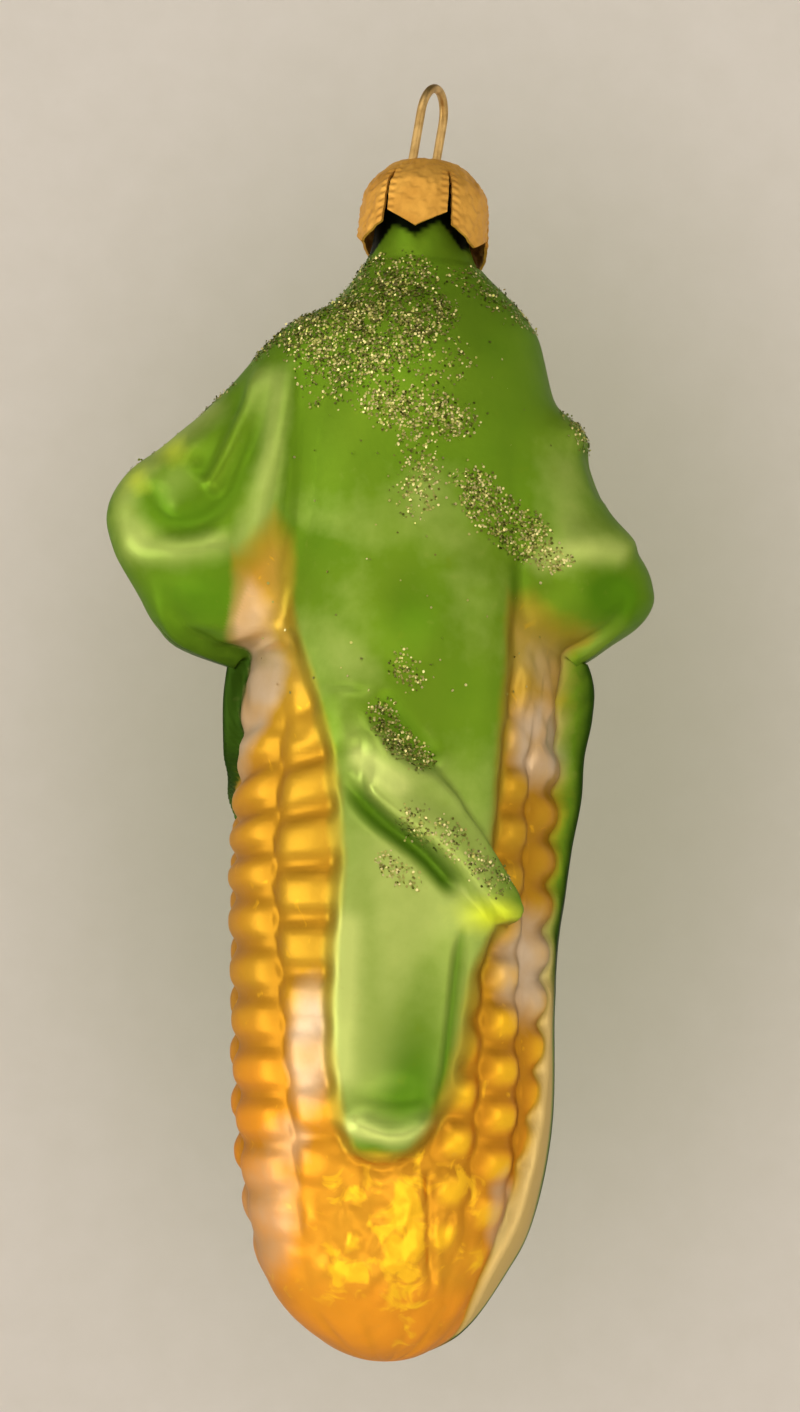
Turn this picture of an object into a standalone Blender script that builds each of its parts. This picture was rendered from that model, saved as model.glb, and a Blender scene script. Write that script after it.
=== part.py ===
# A blown glass ornament shaped as a corn cob in its husk, with a stamped cap and a wire loop to hang it by.
# All sizes here are in millimetres. The front of the ornament faces -Y and it hangs along Z.
import math

import bmesh
import bpy
import numpy as np

METRES_PER_MM = 0.001

# The origin is the hang point, the inner top of the wire loop. The loop leans, so the glass hangs beside it.
GLASS_AXIS_X = -1.28
# Heights of the glass and the cap are measured from a level just below the hang point.
DATUM_Z = -1.1

# Mesh density of the glass shell.
OUTER_COLUMNS = 60
OUTER_ROWS = 80
INNER_COLUMNS = 30
INNER_ROWS = 34
# Rows close up over the side leaves and the kernels, and columns toward the front.
LEAF_ROW_SHARE = 0.25
KERNEL_ROW_SHARE = 0.3
FRONT_BIAS = 0.11

# Glass shell heights.
NECK_TOP = -9.0
LEAF_TOP = -17.0
LEAF_BOTTOM = -61.0
TIP_START = -88.0
TIP_END = -126.2
TIP_RADIUS = 15.55
TIP_POWER = 3.2

# Cob radius against height, from the neck down to where the rounded tip starts.
COB_RADIUS = [(-7.0, 4.7), (-13.0, 4.7), (-15.0, 5.0), (-17.0, 5.8), (-19.5, 7.3), (-22.5, 10.0),
              (-26.0, 12.1), (-32.0, 13.8), (-45.0, 14.8), (-58.0, 15.5), (-68.0, 15.9), (-80.0, 15.9),
              (-88.0, 15.55)]
# How far the cob bends off its axis toward -X.
COB_SHIFT = [(-7.0, 0.0), (-50.0, 0.0), (-66.0, -0.7), (-80.0, -1.1), (-92.0, -0.9), (-102.0, -0.6),
             (-112.0, -0.7), (-119.0, -1.1), (-126.0, -0.4)]

# Reach of the two curled side leaves, and how thick they are front to back.
LEFT_REACH = [(-17.0, -5.0), (-19.5, -7.0), (-21.4, -9.0), (-22.8, -12.2), (-25.0, -14.8), (-30.0, -19.2),
              (-33.5, -22.6), (-36.5, -26.1), (-38.5, -28.6), (-40.5, -30.1), (-43.0, -30.8), (-46.5, -29.8),
              (-51.0, -26.9), (-53.5, -24.3), (-54.8, -22.0), (-55.5, -19.2), (-56.2, -16.4), (-57.6, -13.6),
              (-60.0, -12.0)]
RIGHT_REACH = [(-17.0, 5.6), (-20.0, 9.0), (-23.0, 11.4), (-30.8, 13.7), (-32.2, 15.2), (-34.0, 16.8),
               (-37.0, 17.5), (-41.0, 19.3), (-44.5, 21.9), (-46.5, 23.4), (-48.5, 24.2), (-50.4, 24.2),
               (-52.4, 22.4), (-54.2, 18.6), (-55.8, 15.0), (-61.0, 12.0)]
SIDE_LEAF_DEPTH = [(-17.0, 4.0), (-22.0, 7.0), (-30.0, 8.5), (-45.0, 9.0), (-52.0, 8.5), (-57.0, 6.5),
                   (-61.0, 4.0)]
SIDE_LEAF_FORWARD = 1.0
SIDE_LEAF_BLEND = 1.6

# Wall of the shell: the inner face follows the outline of the cob without its relief.
NECK_WALL = 0.85
BODY_WALL = 2.2
# The outer face carries the lacquer and glitter on top of the glass.
COAT = 0.15

# Kernels: lines between the columns in degrees round the cob, high up and low down, then each
# column's own kernel height and the height of its first line.
KERNEL_EDGES_HIGH = [-126, -92, -48, -12, 20, 44, 64, 92, 122, 152, 182, 212, 234]
KERNEL_EDGES_LOW = [-122, -84, -39, -10, 17, 35, 58, 88, 120, 152, 182, 212, 238]
KERNEL_PITCH = [5.0, 4.85, 5.25, 4.8, 4.6, 4.6, 4.6, 4.8, 4.8, 4.8, 4.8, 4.8]
KERNEL_START = [-73.6, -71.2, -72.7, -72.4, -69.6, -71.8, -69.6, -72.0, -74.4, -72.0, -74.4, -72.0]
KERNEL_CROWN = 0.55
KERNEL_COLUMN_GROOVE = 1.3
KERNEL_ROW_GROOVE = 1.25

# Front husk leaf: its two edges as height and x, and how far it stands off the cob.
FRONT_LEFT_EDGE = [(-18.0, -9.0), (-23.5, -12.0), (-44.0, -12.5), (-50.0, -12.0), (-56.0, -10.7),
                   (-62.0, -8.7), (-68.0, -7.1), (-75.0, -6.3), (-90.0, -6.5), (-96.0, -6.3), (-101.0, -5.6),
                   (-104.0, -4.8), (-106.0, -3.4), (-107.0, -1.2)]
FRONT_RIGHT_EDGE = [(-18.0, 9.0), (-23.0, 12.5), (-40.0, 11.0), (-48.0, 10.2), (-62.0, 9.3), (-72.0, 8.8),
                    (-79.5, 8.6), (-82.5, 9.4), (-84.6, 8.6), (-87.5, 7.5), (-94.0, 6.4), (-99.0, 5.2),
                    (-103.0, 3.4), (-106.0, 0.6), (-107.0, -1.2)]
FRONT_LEAF_RISE = 1.1

# The front leaf's tip is folded over: the outline of the fold, and the crest it is creased along.
FLAP_OUTLINE = [(-3.6, -58.0), (-1.6, -62.0), (0.8, -65.0), (2.4, -66.6), (4.1, -67.6), (4.6, -70.0),
                (5.4, -72.2), (7.2, -74.7), (8.8, -77.4), (9.9, -79.8), (10.2, -81.8), (9.6, -83.2),
                (8.0, -83.3), (5.7, -80.4), (4.1, -78.3), (2.0, -76.1), (-1.1, -73.8), (-3.6, -71.4),
                (-5.4, -68.6), (-6.8, -65.5), (-7.4, -58.0)]
FLAP_CREST = [(-6.2, -65.5), (-5.0, -68.4), (-3.2, -71.0), (-0.7, -73.3), (2.4, -75.6), (4.5, -77.7),
              (5.9, -79.4), (7.8, -81.0), (9.6, -82.0)]
FLAP_RISE = 1.0
FLAP_CREST_RISE = 1.7
FLAP_CREST_WIDTH = 2.6
FLAP_SOFTNESS = 1.9

# Back husk leaf: its edges as height and degrees round the cob from the front toward +X, and how far it
# stands off the cob on its right and left sides.
BACK_RIGHT_EDGE = [(-50.0, 76.0), (-58.0, 80.0), (-66.0, 83.0), (-74.0, 81.0), (-82.0, 76.0), (-88.0, 71.0),
                   (-95.0, 67.0), (-102.0, 65.0), (-108.0, 66.0), (-113.0, 71.0), (-118.0, 82.0),
                   (-121.0, 100.0), (-123.0, 148.0)]
BACK_LEFT_EDGE = [(-50.0, 284.0), (-58.0, 276.0), (-66.0, 270.0), (-72.0, 252.0), (-85.0, 237.0),
                  (-100.0, 227.0), (-110.0, 216.0), (-118.0, 198.0), (-121.0, 178.0), (-123.0, 152.0)]
BACK_RISE_RIGHT = [(-50.0, 1.2), (-56.0, 2.6), (-59.0, 3.5), (-62.0, 3.4), (-66.0, 2.7), (-70.0, 2.6),
                   (-75.0, 1.9), (-82.0, 1.3), (-92.0, 0.9), (-104.0, 1.0), (-112.0, 0.9), (-118.0, 0.6),
                   (-126.0, 0.2)]
BACK_RISE_LEFT = [(-50.0, 1.2), (-56.0, 2.2), (-60.0, 2.3), (-66.0, 1.7), (-75.0, 1.3), (-90.0, 1.2),
                  (-112.0, 1.3), (-126.0, 0.5)]
BACK_VEIN_RISE = 0.22
BACK_VEIN_DEG = 17.0

# Folds pressed in the leaves, as paths of x and height with a height (negative is a valley) and a width.
FRONT_FOLDS = [
    # Left side leaf: a dished face with two ridges running down into it.
    ([(-13.6, -28.0), (-15.8, -34.8), (-17.4, -38.8), (-18.8, -41.8), (-20.8, -43.8), (-23.6, -44.0),
      (-26.0, -42.4)], -1.1, 1.9),
    ([(-14.4, -26.5), (-16.6, -32.6), (-18.4, -37.6), (-19.8, -40.6), (-21.4, -41.6)], 0.95, 1.0),
    ([(-29.4, -43.6), (-27.2, -46.9), (-24.0, -47.2), (-20.6, -46.9), (-17.4, -45.4)], 0.7, 1.6),
    ([(-12.2, -25.5), (-12.9, -32.8), (-13.6, -38.4), (-14.4, -43.4), (-15.2, -49.0)], 0.7, 1.4),
    # Right side leaf: a broad ridge across it and a line where the front leaf passes it.
    ([(10.9, -46.0), (10.9, -51.0), (10.6, -58.0)], -0.35, 1.4),
    ([(12.4, -48.2), (16.2, -45.8), (19.8, -45.0), (22.6, -46.4)], 0.7, 2.4),
    # Front leaf: the crease under the folded tip.
    ([(-5.8, -68.6), (-4.2, -71.8), (-1.6, -74.3), (1.5, -76.6), (3.7, -78.8), (5.2, -80.8)], -0.6, 1.6),
    ([(-3.0, -61.0), (-1.0, -64.0), (1.0, -66.4), (3.4, -68.6)], -0.8, 1.1),
    # Lower leaf: the groove on its right and the lip across its tip.
    ([(6.1, -83.0), (5.7, -88.8), (5.3, -94.0), (5.0, -98.2), (4.0, -102.2)], -0.6, 1.1),
    ([(-4.6, -101.8), (-1.9, -103.4), (0.8, -103.6), (3.8, -101.4)], 0.7, 1.5),
]
BACK_FOLDS = [
    ([(-13.0, -27.0), (-17.5, -38.0), (-22.0, -48.0)], -1.2, 1.8),
    ([(-18.0, -29.0), (-22.0, -36.0), (-26.0, -44.0)], 0.8, 1.8),
    ([(12.4, -28.0), (14.6, -40.0), (17.0, -50.0)], -1.0, 1.8),
    ([(-1.4, -26.0), (-0.6, -60.0), (0.4, -90.0), (2.0, -118.0)], 0.9, 1.3),
]
# Rounded dents and lumps in the front: x, height, how high, reach across and reach down.
FRONT_DENTS = [
    (-22.8, -41.0, -0.7, 3.8, 4.2),
    (-27.0, -40.0, 0.4, 1.9, 2.6),
    (16.0, -33.4, 0.5, 1.8, 2.2),
    (20.2, -50.0, -0.9, 3.0, 2.8),
    (14.6, -40.4, 0.5, 3.2, 5.0),
    (-0.2, -53.4, -0.7, 2.6, 3.4),
    (7.2, -82.0, 0.5, 2.2, 1.3),
]

# Cap: profile of its outer face as radius and height, with the petals' length measured down the side.
CAP_PROFILE = [(0.0, -6.4), (2.0, -6.4), (3.2, -6.42), (3.7, -6.62), (4.5, -7.3), (5.5, -8.35), (6.15, -9.4),
               (6.45, -10.8), (6.6, -13.0), (6.8, -18.0)]
CAP_THICKNESS = 0.28
CAP_SHIFT_X = 0.45
CAP_PETALS = 6
CAP_TURN_DEG = -7.0
CAP_PITCH_DEG = 5.0
CAP_ROLL_DEG = 2.6
CAP_TILT_PIVOT = -8.0
CAP_DOME_RINGS = 7
PETAL_COLUMNS = 8
PETAL_ROWS = 9
PETAL_GAP = [0.2, 0.6]
SLIT_RADIUS = 5.3
PETAL_SIDE_LENGTH = 5.3
PETAL_TIP_LENGTH = 1.7
PETAL_EXTRA = [-0.4, 0.8, 1.4, 0.3, 0.4, 0.6]
WIRE_HOLE_RADIUS = 0.9

# Wire hanger: a loop on two legs that splay inside the neck.
WIRE_RADIUS = 0.45
WIRE_SIDES = 10
LOOP_HALF_WIDTH = 3.0
LOOP_TURN_DEG = 68.0
LOOP_LEAN = 0.14
LOOP_LEAN_FROM = -8.0
LEG_SPLAY = [(-7.0, 3.0), (-14.5, 3.0), (-16.5, 3.1), (-19.0, 4.0), (-21.5, 5.2), (-23.5, 5.8)]

GREEN = (0.16, 0.33, 0.04, 1.0)
AMBER = (0.86, 0.42, 0.07, 1.0)
PEARL = (0.80, 0.66, 0.56, 1.0)
GOLD_FOIL = (0.72, 0.42, 0.09, 1.0)
GOLD_WIRE = (0.62, 0.50, 0.24, 1.0)


def clear_scene():
    for item in list(bpy.data.objects):
        bpy.data.objects.remove(item, do_unlink=True)


def smooth_step(low, high, value):
    share = np.clip((value - low) / (high - low), 0.0, 1.0)
    return share * share * (3.0 - 2.0 * share)


def smooth_max(first, second, blend):
    overlap = np.maximum(blend - np.abs(first - second), 0.0) / blend
    return np.maximum(first, second) + overlap * overlap * blend * 0.25


def curve(points, at):
    # Smooth curve through points of (position, value), whose positions run downward.
    table = np.array(sorted(points))
    place = table[:, 0]
    value = table[:, 1]
    slope = np.gradient(value, place)
    at = np.clip(np.asarray(at, dtype=float), place[0], place[-1])
    index = np.clip(np.searchsorted(place, at) - 1, 0, len(place) - 2)
    span = place[index + 1] - place[index]
    t = (at - place[index]) / span
    start = (1.0 + 2.0 * t) * (1.0 - t) ** 2 * value[index] + t * (1.0 - t) ** 2 * span * slope[index]
    return start + t * t * (3.0 - 2.0 * t) * value[index + 1] + t * t * (t - 1.0) * span * slope[index + 1]


def cob_radius(height):
    share = np.clip((TIP_START - height) / (TIP_START - TIP_END), 0.0, 1.0)
    tip = TIP_RADIUS * np.sqrt(np.maximum(1.0 - share ** TIP_POWER, 0.0))
    return np.where(height > TIP_START, curve(COB_RADIUS, height), tip)


def lobe_radius(angle, inner, outer, half_depth, forward):
    # Distance from the axis to an ellipse that holds the axis, looking out at each angle from the front.
    out_x = np.sin(angle)
    out_y = -np.cos(angle)
    centre_x = (inner + outer) * 0.5
    half_width = np.abs(outer - inner) * 0.5
    a = (out_x / half_width) ** 2 + (out_y / half_depth) ** 2
    b = out_x * centre_x / half_width ** 2 - out_y * forward / half_depth ** 2
    c = (centre_x / half_width) ** 2 + (forward / half_depth) ** 2 - 1.0
    return (b + np.sqrt(np.maximum(b * b - a * c, 0.0))) / a


def section_radius(angle, height, inset):
    radius = float(cob_radius(height)) - inset
    cob = np.full_like(angle, radius)
    if height < LEAF_BOTTOM or height > LEAF_TOP:
        return cob
    depth = float(curve(SIDE_LEAF_DEPTH, height)) - inset
    left = float(curve(LEFT_REACH, height)) + inset
    right = float(curve(RIGHT_REACH, height)) - inset
    left_leaf = lobe_radius(angle, 3.0, left, depth, SIDE_LEAF_FORWARD)
    right_leaf = lobe_radius(angle, -3.0, right, depth, SIDE_LEAF_FORWARD)
    return smooth_max(smooth_max(cob, left_leaf, SIDE_LEAF_BLEND), right_leaf, SIDE_LEAF_BLEND)


def section_points(height, columns, inset):
    # One ring of the shell, with its points spread along each half of its outline, closer at the front.
    ring_x = []
    ring_y = []
    for side in (1.0, -1.0):
        angle = side * np.linspace(0.0, math.pi, 361)
        radius = section_radius(angle, height, inset)
        x = radius * np.sin(angle)
        y = -radius * np.cos(angle)
        run = np.concatenate([[0.0], np.cumsum(np.hypot(np.diff(x), np.diff(y)))])
        share = np.linspace(0.0, 1.0, columns // 2 + 1)
        stops = run[-1] * (share - FRONT_BIAS * np.sin(math.pi * share))
        ring_x.append(np.interp(stops, run, x))
        ring_y.append(np.interp(stops, run, y))
    x = np.concatenate([ring_x[0], ring_x[1][-2:0:-1]])
    y = np.concatenate([ring_y[0], ring_y[1][-2:0:-1]])
    return x + float(curve(COB_SHIFT, height)), y


def row_heights(rows):
    # Heights spread evenly along the outline, so rows close up where the leaves and the tip turn in.
    height = np.linspace(NECK_TOP, TIP_END, 3000)
    radius = cob_radius(height)
    leafy = height > LEAF_BOTTOM
    left = np.where(leafy, curve(LEFT_REACH, height), -radius)
    right = np.where(leafy, curve(RIGHT_REACH, height), radius)
    reach_turn = np.maximum(np.abs(np.diff(left)), np.abs(np.diff(right)))
    turn = np.maximum(np.abs(np.diff(radius)), LEAF_ROW_SHARE * reach_turn)
    weight = 1.0 + KERNEL_ROW_SHARE * smooth_step(-56.0, -64.0, height[1:])
    run = np.concatenate([[0.0], np.cumsum(np.hypot(turn, np.diff(height)) * weight)])
    return np.interp(np.linspace(0.0, run[-1], rows + 1), run, height)[:-1]


def path_distance(x, z, path):
    # Distance to a path, and the share of the way along it.
    best = np.full(x.shape, 1e9)
    along = np.zeros(x.shape)
    for index in range(len(path) - 1):
        start = path[index]
        end = path[index + 1]
        run_x = end[0] - start[0]
        run_z = end[1] - start[1]
        length = (x - start[0]) * run_x + (z - start[1]) * run_z
        share = np.clip(length / (run_x ** 2 + run_z ** 2), 0.0, 1.0)
        distance = np.hypot(x - start[0] - share * run_x, z - start[1] - share * run_z)
        nearer = distance < best
        best = np.where(nearer, distance, best)
        along = np.where(nearer, (index + share) / (len(path) - 1), along)
    return best, along


def smooth_path(path):
    # A drawn path with its corners rounded off.
    steps = np.linspace(0.0, len(path) - 1.0, 4 * (len(path) - 1) + 1)
    x = curve([(index, point[0]) for index, point in enumerate(path)], steps)
    z = curve([(index, point[1]) for index, point in enumerate(path)], steps)
    return list(zip(x, z))


def outline_distance(x, z, outline):
    # Distance in from the edge of a closed outline, negative outside it.
    closed = list(outline) + [outline[0]]
    distance = path_distance(x, z, closed)[0]
    inside = np.zeros(x.shape, dtype=bool)
    for start, end in zip(closed, closed[1:]):
        spans = (start[1] > z) != (end[1] > z)
        slope = (end[0] - start[0]) / (end[1] - start[1]) if start[1] != end[1] else 0.0
        inside ^= spans & (x < start[0] + (z - start[1]) * slope)
    return np.where(inside, distance, -distance)


def cob_degrees(x, y, z):
    # Degrees round the bent cob, from the front toward +X.
    return np.degrees(np.arctan2(x - curve(COB_SHIFT, z), -y)) % 360.0


def front_leaf(x, z):
    left = curve(FRONT_LEFT_EDGE, z)
    right = curve(FRONT_RIGHT_EDGE, z)
    inside = smooth_step(-1.0, 1.0, x - left) * smooth_step(-1.0, 1.0, right - x)
    return inside * smooth_step(-107.5, -106.0, z)


def back_leaf(degrees, z):
    right = curve(BACK_RIGHT_EDGE, z)
    left = curve(BACK_LEFT_EDGE, z)
    inside = smooth_step(-3.0, 3.0, degrees - right) * smooth_step(-3.0, 3.0, left - degrees)
    return inside * smooth_step(-125.0, -123.5, z)


def flap(x, z):
    # Share of the folded tip, and how far it stands off the leaf it lies on.
    share = smooth_step(-FLAP_SOFTNESS, FLAP_SOFTNESS, outline_distance(x, z, FLAP_OUTLINE))
    from_crest = path_distance(x, z, smooth_path(FLAP_CREST))[0]
    height = FLAP_RISE + FLAP_CREST_RISE * np.exp(-(from_crest / FLAP_CREST_WIDTH) ** 2)
    return share, height * smooth_step(-60.5, -70.0, z)


def kernels(degrees, z):
    # 1 on the crown of a kernel, 0 in the lines between columns and between kernels.
    turned = np.where(degrees > KERNEL_EDGES_HIGH[-1], degrees - 360.0, degrees)
    low = smooth_step(-75.0, -110.0, z)
    slant = 0.06 * (turned + 30.0) * smooth_step(-82.0, -68.0, z) * (turned < 20.0)
    across = np.zeros(z.shape)
    down = np.zeros(z.shape)
    for index, pitch in enumerate(KERNEL_PITCH):
        first = KERNEL_EDGES_HIGH[index] * (1.0 - low) + KERNEL_EDGES_LOW[index] * low
        last = KERNEL_EDGES_HIGH[index + 1] * (1.0 - low) + KERNEL_EDGES_LOW[index + 1] * low
        inside = (turned >= first) & (turned < last)
        place = 2.0 * (turned - first) / (last - first) - 1.0
        row = 2.0 * ((KERNEL_START[index] - z + slant) / pitch % 1.0) - 1.0
        across = np.where(inside, 0.5 + 0.5 * np.cos(math.pi * np.abs(place) ** 2.4), across)
        down = np.where(inside, 0.5 + 0.5 * np.cos(math.pi * np.abs(row) ** 1.8), down)
    return across, down


def pressed_folds(x, z, front, back):
    rise = np.zeros(x.shape)
    for folds, share in ((FRONT_FOLDS, front), (BACK_FOLDS, back)):
        for path, height, width in folds:
            distance, along = path_distance(x, z, smooth_path(path))
            fade = smooth_step(0.0, 0.2, along) * smooth_step(1.0, 0.8, along)
            rise = rise + share * height * fade * np.exp(-(distance / width) ** 2)
    for centre_x, centre_z, height, reach_x, reach_z in FRONT_DENTS:
        dent = np.exp(-((x - centre_x) / reach_x) ** 2 - ((z - centre_z) / reach_z) ** 2)
        rise = rise + front * height * dent
    return rise


def relief(x, y, z, facing):
    # How far each point of the smooth shell is pressed out, from the leaves, kernels and folds.
    degrees = cob_degrees(x, y, z)
    front = smooth_step(-0.1, 0.3, facing)
    back = smooth_step(-0.1, 0.3, -facing)
    shoulder = smooth_step(-56.0, -48.0, z)
    front_share = front_leaf(x, z) * front
    flap_share, flap_height = flap(x, z)
    flap_share = flap_share * front
    back_share = back_leaf(degrees, z)
    cover = np.maximum(np.maximum(front_share, flap_share), np.maximum(back_share, shoulder))
    bare = (1.0 - cover) * smooth_step(-58.0, -70.0, z)
    across, down = kernels(degrees, z)
    kernel = KERNEL_CROWN - KERNEL_COLUMN_GROOVE * (1.0 - across)
    kernel = kernel - KERNEL_ROW_GROOVE * (1.0 - down) * (0.3 + 0.7 * across)
    rise = bare * kernel * (0.12 + 0.88 * smooth_step(-121.0, -106.0, z))
    leaf_rise = FRONT_LEAF_RISE * front_share * smooth_step(-44.0, -60.0, z)
    rise = rise + np.maximum(leaf_rise, flap_share * (FRONT_LEAF_RISE + flap_height))
    right_side = smooth_step(-4.0, 4.0, x)
    back_rise = curve(BACK_RISE_RIGHT, z) * right_side + curve(BACK_RISE_LEFT, z) * (1.0 - right_side)
    veins = BACK_VEIN_RISE * np.cos(np.radians((degrees - 168.0) * 360.0 / BACK_VEIN_DEG))
    rise = rise + back_share * (back_rise * smooth_step(-48.0, -58.0, z) + veins)
    rise = rise + pressed_folds(x, z, front, back)
    return (rise + COAT) * smooth_step(LEAF_TOP, LEAF_TOP - 5.0, z)


def grid_normals(x, y, z):
    # Outward directions of a closed grid whose rows run down the shell.
    across = [np.roll(axis, -1, axis=1) - np.roll(axis, 1, axis=1) for axis in (x, y, z)]
    down = [np.gradient(axis, axis=0) for axis in (x, y, z)]
    normal = np.cross(np.stack(down, axis=-1), np.stack(across, axis=-1))
    return normal / np.maximum(np.linalg.norm(normal, axis=-1, keepdims=True), 1e-9)


def shell_grid(rows, columns, inset, with_relief):
    heights = row_heights(rows)
    x = np.zeros((rows, columns))
    y = np.zeros((rows, columns))
    for row, height in enumerate(heights):
        x[row], y[row] = section_points(height, columns, inset[row] if inset is not None else 0.0)
    z = np.repeat(heights[:, None], columns, axis=1)
    if inset is not None:
        z = z + np.where(z < -60.0, inset[:, None] * smooth_step(-100.0, TIP_END, z), 0.0)
    if with_relief:
        normal = grid_normals(x, y, z)
        rise = relief(x, y, z, -normal[..., 1])
        x = x + normal[..., 0] * rise
        y = y + normal[..., 1] * rise
        z = z + normal[..., 2] * rise
    return np.stack([x, y, z], axis=-1)


def paint_slot(centre):
    # 0 green husk, 1 amber kernels, 2 pearly patches left bare under the lacquer.
    x, y, z = (np.array([value]) for value in centre)
    degrees = cob_degrees(x, y, z)
    facing = smooth_step(0.5, -0.5, y)
    leaf = max(float((front_leaf(x, z) * facing)[0]), float(back_leaf(degrees, z)[0]))
    leaf = max(leaf, float((flap(x, z)[0] * facing)[0]), float(smooth_step(-57.0, -55.0, z)[0]))
    if leaf > 0.5:
        return 0
    pearl = float(np.sin(z[0] * 0.17 + 1.1) * np.cos(math.radians(degrees[0]) * 3.0 + 0.6))
    return 2 if pearl > 0.55 else 1


def ring_faces(first, second, columns):
    pairs = [(i, (i + 1) % columns) for i in range(columns)]
    return [(first + i, first + j, second + j, second + i) for i, j in pairs]


def grid_faces(start, rows, columns):
    faces = []
    for row in range(rows - 1):
        first = start + row * columns
        faces.extend(ring_faces(first, first + columns, columns))
    return faces


def build_glass():
    outer = shell_grid(OUTER_ROWS, OUTER_COLUMNS, None, True)
    heights = row_heights(INNER_ROWS)
    inset = NECK_WALL + (BODY_WALL - NECK_WALL) * smooth_step(-15.0, -22.0, heights)
    inner = shell_grid(INNER_ROWS, INNER_COLUMNS, inset, False)
    verts = [tuple(point) for point in outer.reshape(-1, 3)]
    tip_x = float(curve(COB_SHIFT, TIP_END))
    verts.append((tip_x, 0.0, TIP_END))
    start = len(verts)
    verts.extend(tuple(point) for point in inner.reshape(-1, 3))
    verts.append((tip_x, 0.0, TIP_END + BODY_WALL))
    faces = reversed_faces(grid_faces(0, OUTER_ROWS, OUTER_COLUMNS))
    last = (OUTER_ROWS - 1) * OUTER_COLUMNS
    faces.extend((last + (i + 1) % OUTER_COLUMNS, last + i, start - 1) for i in range(OUTER_COLUMNS))
    faces.extend(grid_faces(start, INNER_ROWS, INNER_COLUMNS))
    last = start + (INNER_ROWS - 1) * INNER_COLUMNS
    faces.extend((last + i, last + (i + 1) % INNER_COLUMNS, len(verts) - 1) for i in range(INNER_COLUMNS))
    for i in range(INNER_COLUMNS):
        a = 2 * i
        b = a + 1
        c = (a + 2) % OUTER_COLUMNS
        inner_a = start + i
        inner_b = start + (i + 1) % INNER_COLUMNS
        faces.extend([(a, b, inner_a), (b, inner_b, inner_a), (b, c, inner_b)])
    body = make_object("glass_body", verts, faces, GLASS_AXIS_X, DATUM_Z)
    for name, colour, metallic, roughness in (("green lacquered glass", GREEN, 0.7, 0.3),
                                              ("amber lacquered glass", AMBER, 0.7, 0.32),
                                              ("pearl silvered glass", PEARL, 0.8, 0.35)):
        body.data.materials.append(make_material(name, colour, metallic, roughness))
    for face in body.data.polygons:
        centre = face.center / METRES_PER_MM
        face.material_index = paint_slot((centre.x - GLASS_AXIS_X, centre.y, centre.z - DATUM_Z))
    return body


def reversed_faces(faces):
    return [tuple(reversed(face)) for face in faces]


def cap_profile_point(length):
    # A point of the cap's outer profile at a length measured out from the centre of its top.
    radius = np.array([point[0] for point in CAP_PROFILE])
    height = np.array([point[1] for point in CAP_PROFILE])
    run = np.concatenate([[0.0], np.cumsum(np.hypot(np.diff(radius), np.diff(height)))])
    return float(np.interp(length, run, radius)), float(np.interp(length, run, height))


def cap_length_at(radius):
    # The length out from the centre at which the cap's outer profile reaches a radius.
    length = 0.0
    while cap_profile_point(length)[0] < radius:
        length += 0.02
    return length


def cap_normal(length):
    inner = cap_profile_point(max(length - 0.15, 0.0))
    outer = cap_profile_point(length + 0.15)
    run = math.hypot(outer[0] - inner[0], outer[1] - inner[1])
    return -(outer[1] - inner[1]) / run, (outer[0] - inner[0]) / run


def cap_point(length, angle, depth):
    radius, height = cap_profile_point(length)
    normal_r, normal_z = cap_normal(length)
    radius = radius - normal_r * depth
    height = height - normal_z * depth
    return radius * math.sin(angle), -radius * math.cos(angle), height


def petal_end(petal, share):
    # Length of a petal at a place across it, from -1 to 1: straight sides and a point in the middle.
    return PETAL_SIDE_LENGTH + PETAL_EXTRA[petal] + PETAL_TIP_LENGTH * (1.0 - abs(share))


def cap_layer(depth):
    # Points of one face of the cap: the dome's rings first, then each petal's rows.
    points = [cap_point(0.0, 0.0, depth)]
    slit = cap_length_at(SLIT_RADIUS)
    spread = math.pi / CAP_PETALS
    turn = math.radians(CAP_TURN_DEG)
    for ring in range(1, CAP_DOME_RINGS + 1):
        length = slit * ring / CAP_DOME_RINGS
        for petal in range(CAP_PETALS):
            for column in range(PETAL_COLUMNS + 1):
                share = 2.0 * column / PETAL_COLUMNS - 1.0
                angle = turn + 2.0 * spread * petal + share * petal_half_angle(0.0)
                points.append(cap_point(length, angle, depth))
    for row in range(1, PETAL_ROWS + 1):
        for petal in range(CAP_PETALS):
            for column in range(PETAL_COLUMNS + 1):
                share = 2.0 * column / PETAL_COLUMNS - 1.0
                down = row / PETAL_ROWS
                angle = turn + 2.0 * spread * petal + share * petal_half_angle(down)
                points.append(cap_point(slit + down * petal_end(petal, share), angle, depth))
    return points


def petal_half_angle(down):
    gap = PETAL_GAP[0] + (PETAL_GAP[1] - PETAL_GAP[0]) * down
    radius = SLIT_RADIUS + (CAP_PROFILE[-2][0] - SLIT_RADIUS) * min(2.0 * down, 1.0)
    return math.pi / CAP_PETALS - gap * 0.5 / radius


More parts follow.
